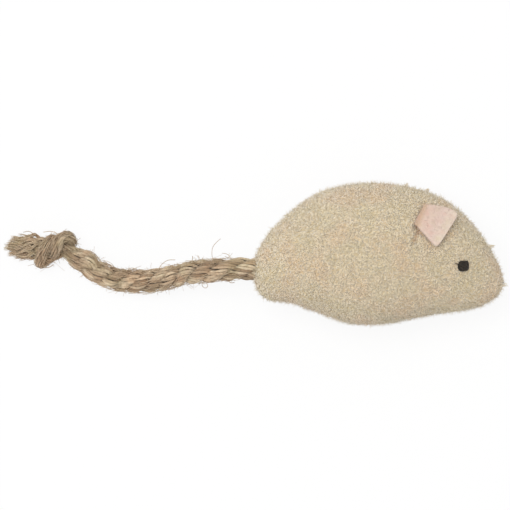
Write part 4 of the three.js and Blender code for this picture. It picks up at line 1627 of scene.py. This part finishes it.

# %% [markdown]
# ## Felt and fuzz on the ears
# The felt is a pressed mat: its base in the fold is painted brown, as painted shade, it grows lighter towards
# its tip, and it is mottled between pink and cream. The attribute named reach, which the grid of each ear
# carries, says how far out a point lies. A fine grain does the rest, in colour and in bump.

# %% Felt
FELT_FOLD_SHADE_TO_TIP = (
    # from the fold at the base, painted shade in brown, to the tip, which is lighter
    (0.02, screen(206, 174, 148)),
    (0.12, screen(225, 199, 182)),
    (0.6, screen(226, 203, 190)),
    (0.95, screen(229, 212, 194)),
)
FELT_PINK = screen(255, 246, 244)
FELT_CREAM = screen(252, 253, 244)
MOTTLE_SIZE = 2.0 * MM
MOTTLE_SPREAD = 0.2
FELT_GRAIN = 0.22 * MM
FELT_GRAIN_DEPTH = 0.12 * MM
FELT_GRAIN_SHADES = ((0.3, grey(0.9)), (0.7, grey(1)))
FELT_FUZZ_SHADES = ((0, screen(212, 188, 174)), (1, screen(234, 216, 204)))


def felt():
    finish = Finish("pink_felt", roughness=1.0, sheen=0.3)
    # painted shade in the fold at the base, lighter towards the tip
    colour = finish.ramp(finish.attribute("reach"), *FELT_FOLD_SHADE_TO_TIP)
    mottle = finish.noise(MOTTLE_SIZE, detail=3)
    colour = finish.patched(colour, mottle, FELT_PINK, FELT_CREAM, MOTTLE_SPREAD)
    grain = finish.noise(FELT_GRAIN, detail=3)
    colour = finish.shaded(colour, grain, *FELT_GRAIN_SHADES)
    return finish.paint(colour).bump(grain, FELT_GRAIN_DEPTH)


def felt_fuzz():
    finish = Finish("felt_fuzz", roughness=1.0, sheen=0.2)
    return finish.paint(finish.ramp(finish.attribute("shade"), *FELT_FUZZ_SHADES))


felt_finish = felt()
felt_hair = felt_fuzz()
for side_name in SIDES:
    dress(ears[side_name], felt_finish)
    dress(ear_fuzz[side_name], felt_hair)
print("felt:", len(ears), "ears")

# %% [markdown]
# ## Threads and what is inside
# Sewing threads, stuffing and dried leaf need only a mottle from dark to light and a bump from the same
# noise, so one function makes all four. Most of them dress solids of the frame that nobody sees until the
# toy is opened.

# %% Threads and filling
MOTTLED = {
    # roughness, sheen, size of the mottling, its detail, depth of the bump, dark and light colour
    "black_thread": (0.8, 0.1, 0.3 * MM, 2, 0.06 * MM, screen(10, 8, 6), screen(66, 58, 50)),
    "pale_thread": (0.8, 0.1, 0.3 * MM, 2, 0.06 * MM, screen(196, 178, 146), screen(226, 212, 184)),
    "stuffing_fibre": (1.0, 0.3, 0.8 * MM, 4, 0.4 * MM, screen(222, 218, 208), screen(246, 243, 236)),
    "dried_leaf": (0.9, 0.0, 1.1 * MM, 3, 0.5 * MM, screen(92, 98, 56), screen(158, 160, 108)),
}
CAD_FINISHES = {
    "fibre_filling": "stuffing_fibre",
    "dried_catnip": "dried_leaf",
    "seam_thread": "pale_thread",
    "closing_thread": "pale_thread",
    "tail_stitch": "pale_thread",
    "eye_thread": "black_thread",
}


def mottled(name, roughness, sheen, size, detail, depth, dark, light):
    finish = Finish(name, roughness, sheen)
    mottle = finish.noise(size, detail)
    return finish.paint(finish.ramp(mottle, (0.3, dark), (0.7, light))).bump(mottle, depth)


finishes = {name: mottled(name, *how) for name, how in MOTTLED.items()}
for side_name in SIDES:
    dress(eyes[side_name], finishes["black_thread"])
    dress(stitches[side_name], finishes["pale_thread"])
for node_name, finish_name in CAD_FINISHES.items():
    dress(frame["nodes"][node_name], finishes[finish_name])
print("threads and filling:", len(CAD_FINISHES), "nodes of the frame dressed")

# %% [markdown]
# ## Joining it to the frame
# Each piece rides on the body that carries it, and the plain solids of the construction that it stands for
# are hidden. The rope is the one piece that crosses a joint, at the rump, so no body carries it: the rope and
# its stray fibres stay where they lie, and the construction's tail root, rope and knot are hidden.


def join(piece, body, slot, *nodes):
    """Attaches a piece to the body that carries it and hides the nodes that it stands for, if any. The slot
    is not used.
    """
    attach(piece, body)
    if nodes:
        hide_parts(*nodes)


for side_name in SIDES:
    join(panels[side_name], "mouse_body", "plush", side_name + "_panel")
    join(ears[side_name], side_name + "_ear", "felt", side_name + "_ear")
    join(ear_fuzz[side_name], side_name + "_ear", "felt")
    join(stitches[side_name], "mouse_body", "pale_thread", side_name + "_ear_stitch")
    join(eyes[side_name], "mouse_body", "black_thread", side_name + "_eye")
for pile in (*piles.values(), loose):
    join(pile, "mouse_body", "plush")
join(tuft, "tail", "jute_rope", "tail_tuft")
for fibres in (rope, strays):
    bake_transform(fibres)
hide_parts("tail_root", "tail_rope", "tail_knot")
print("joined: %d pieces of pile and %d panels, with the rope as a cord" % (len(piles), len(panels)))
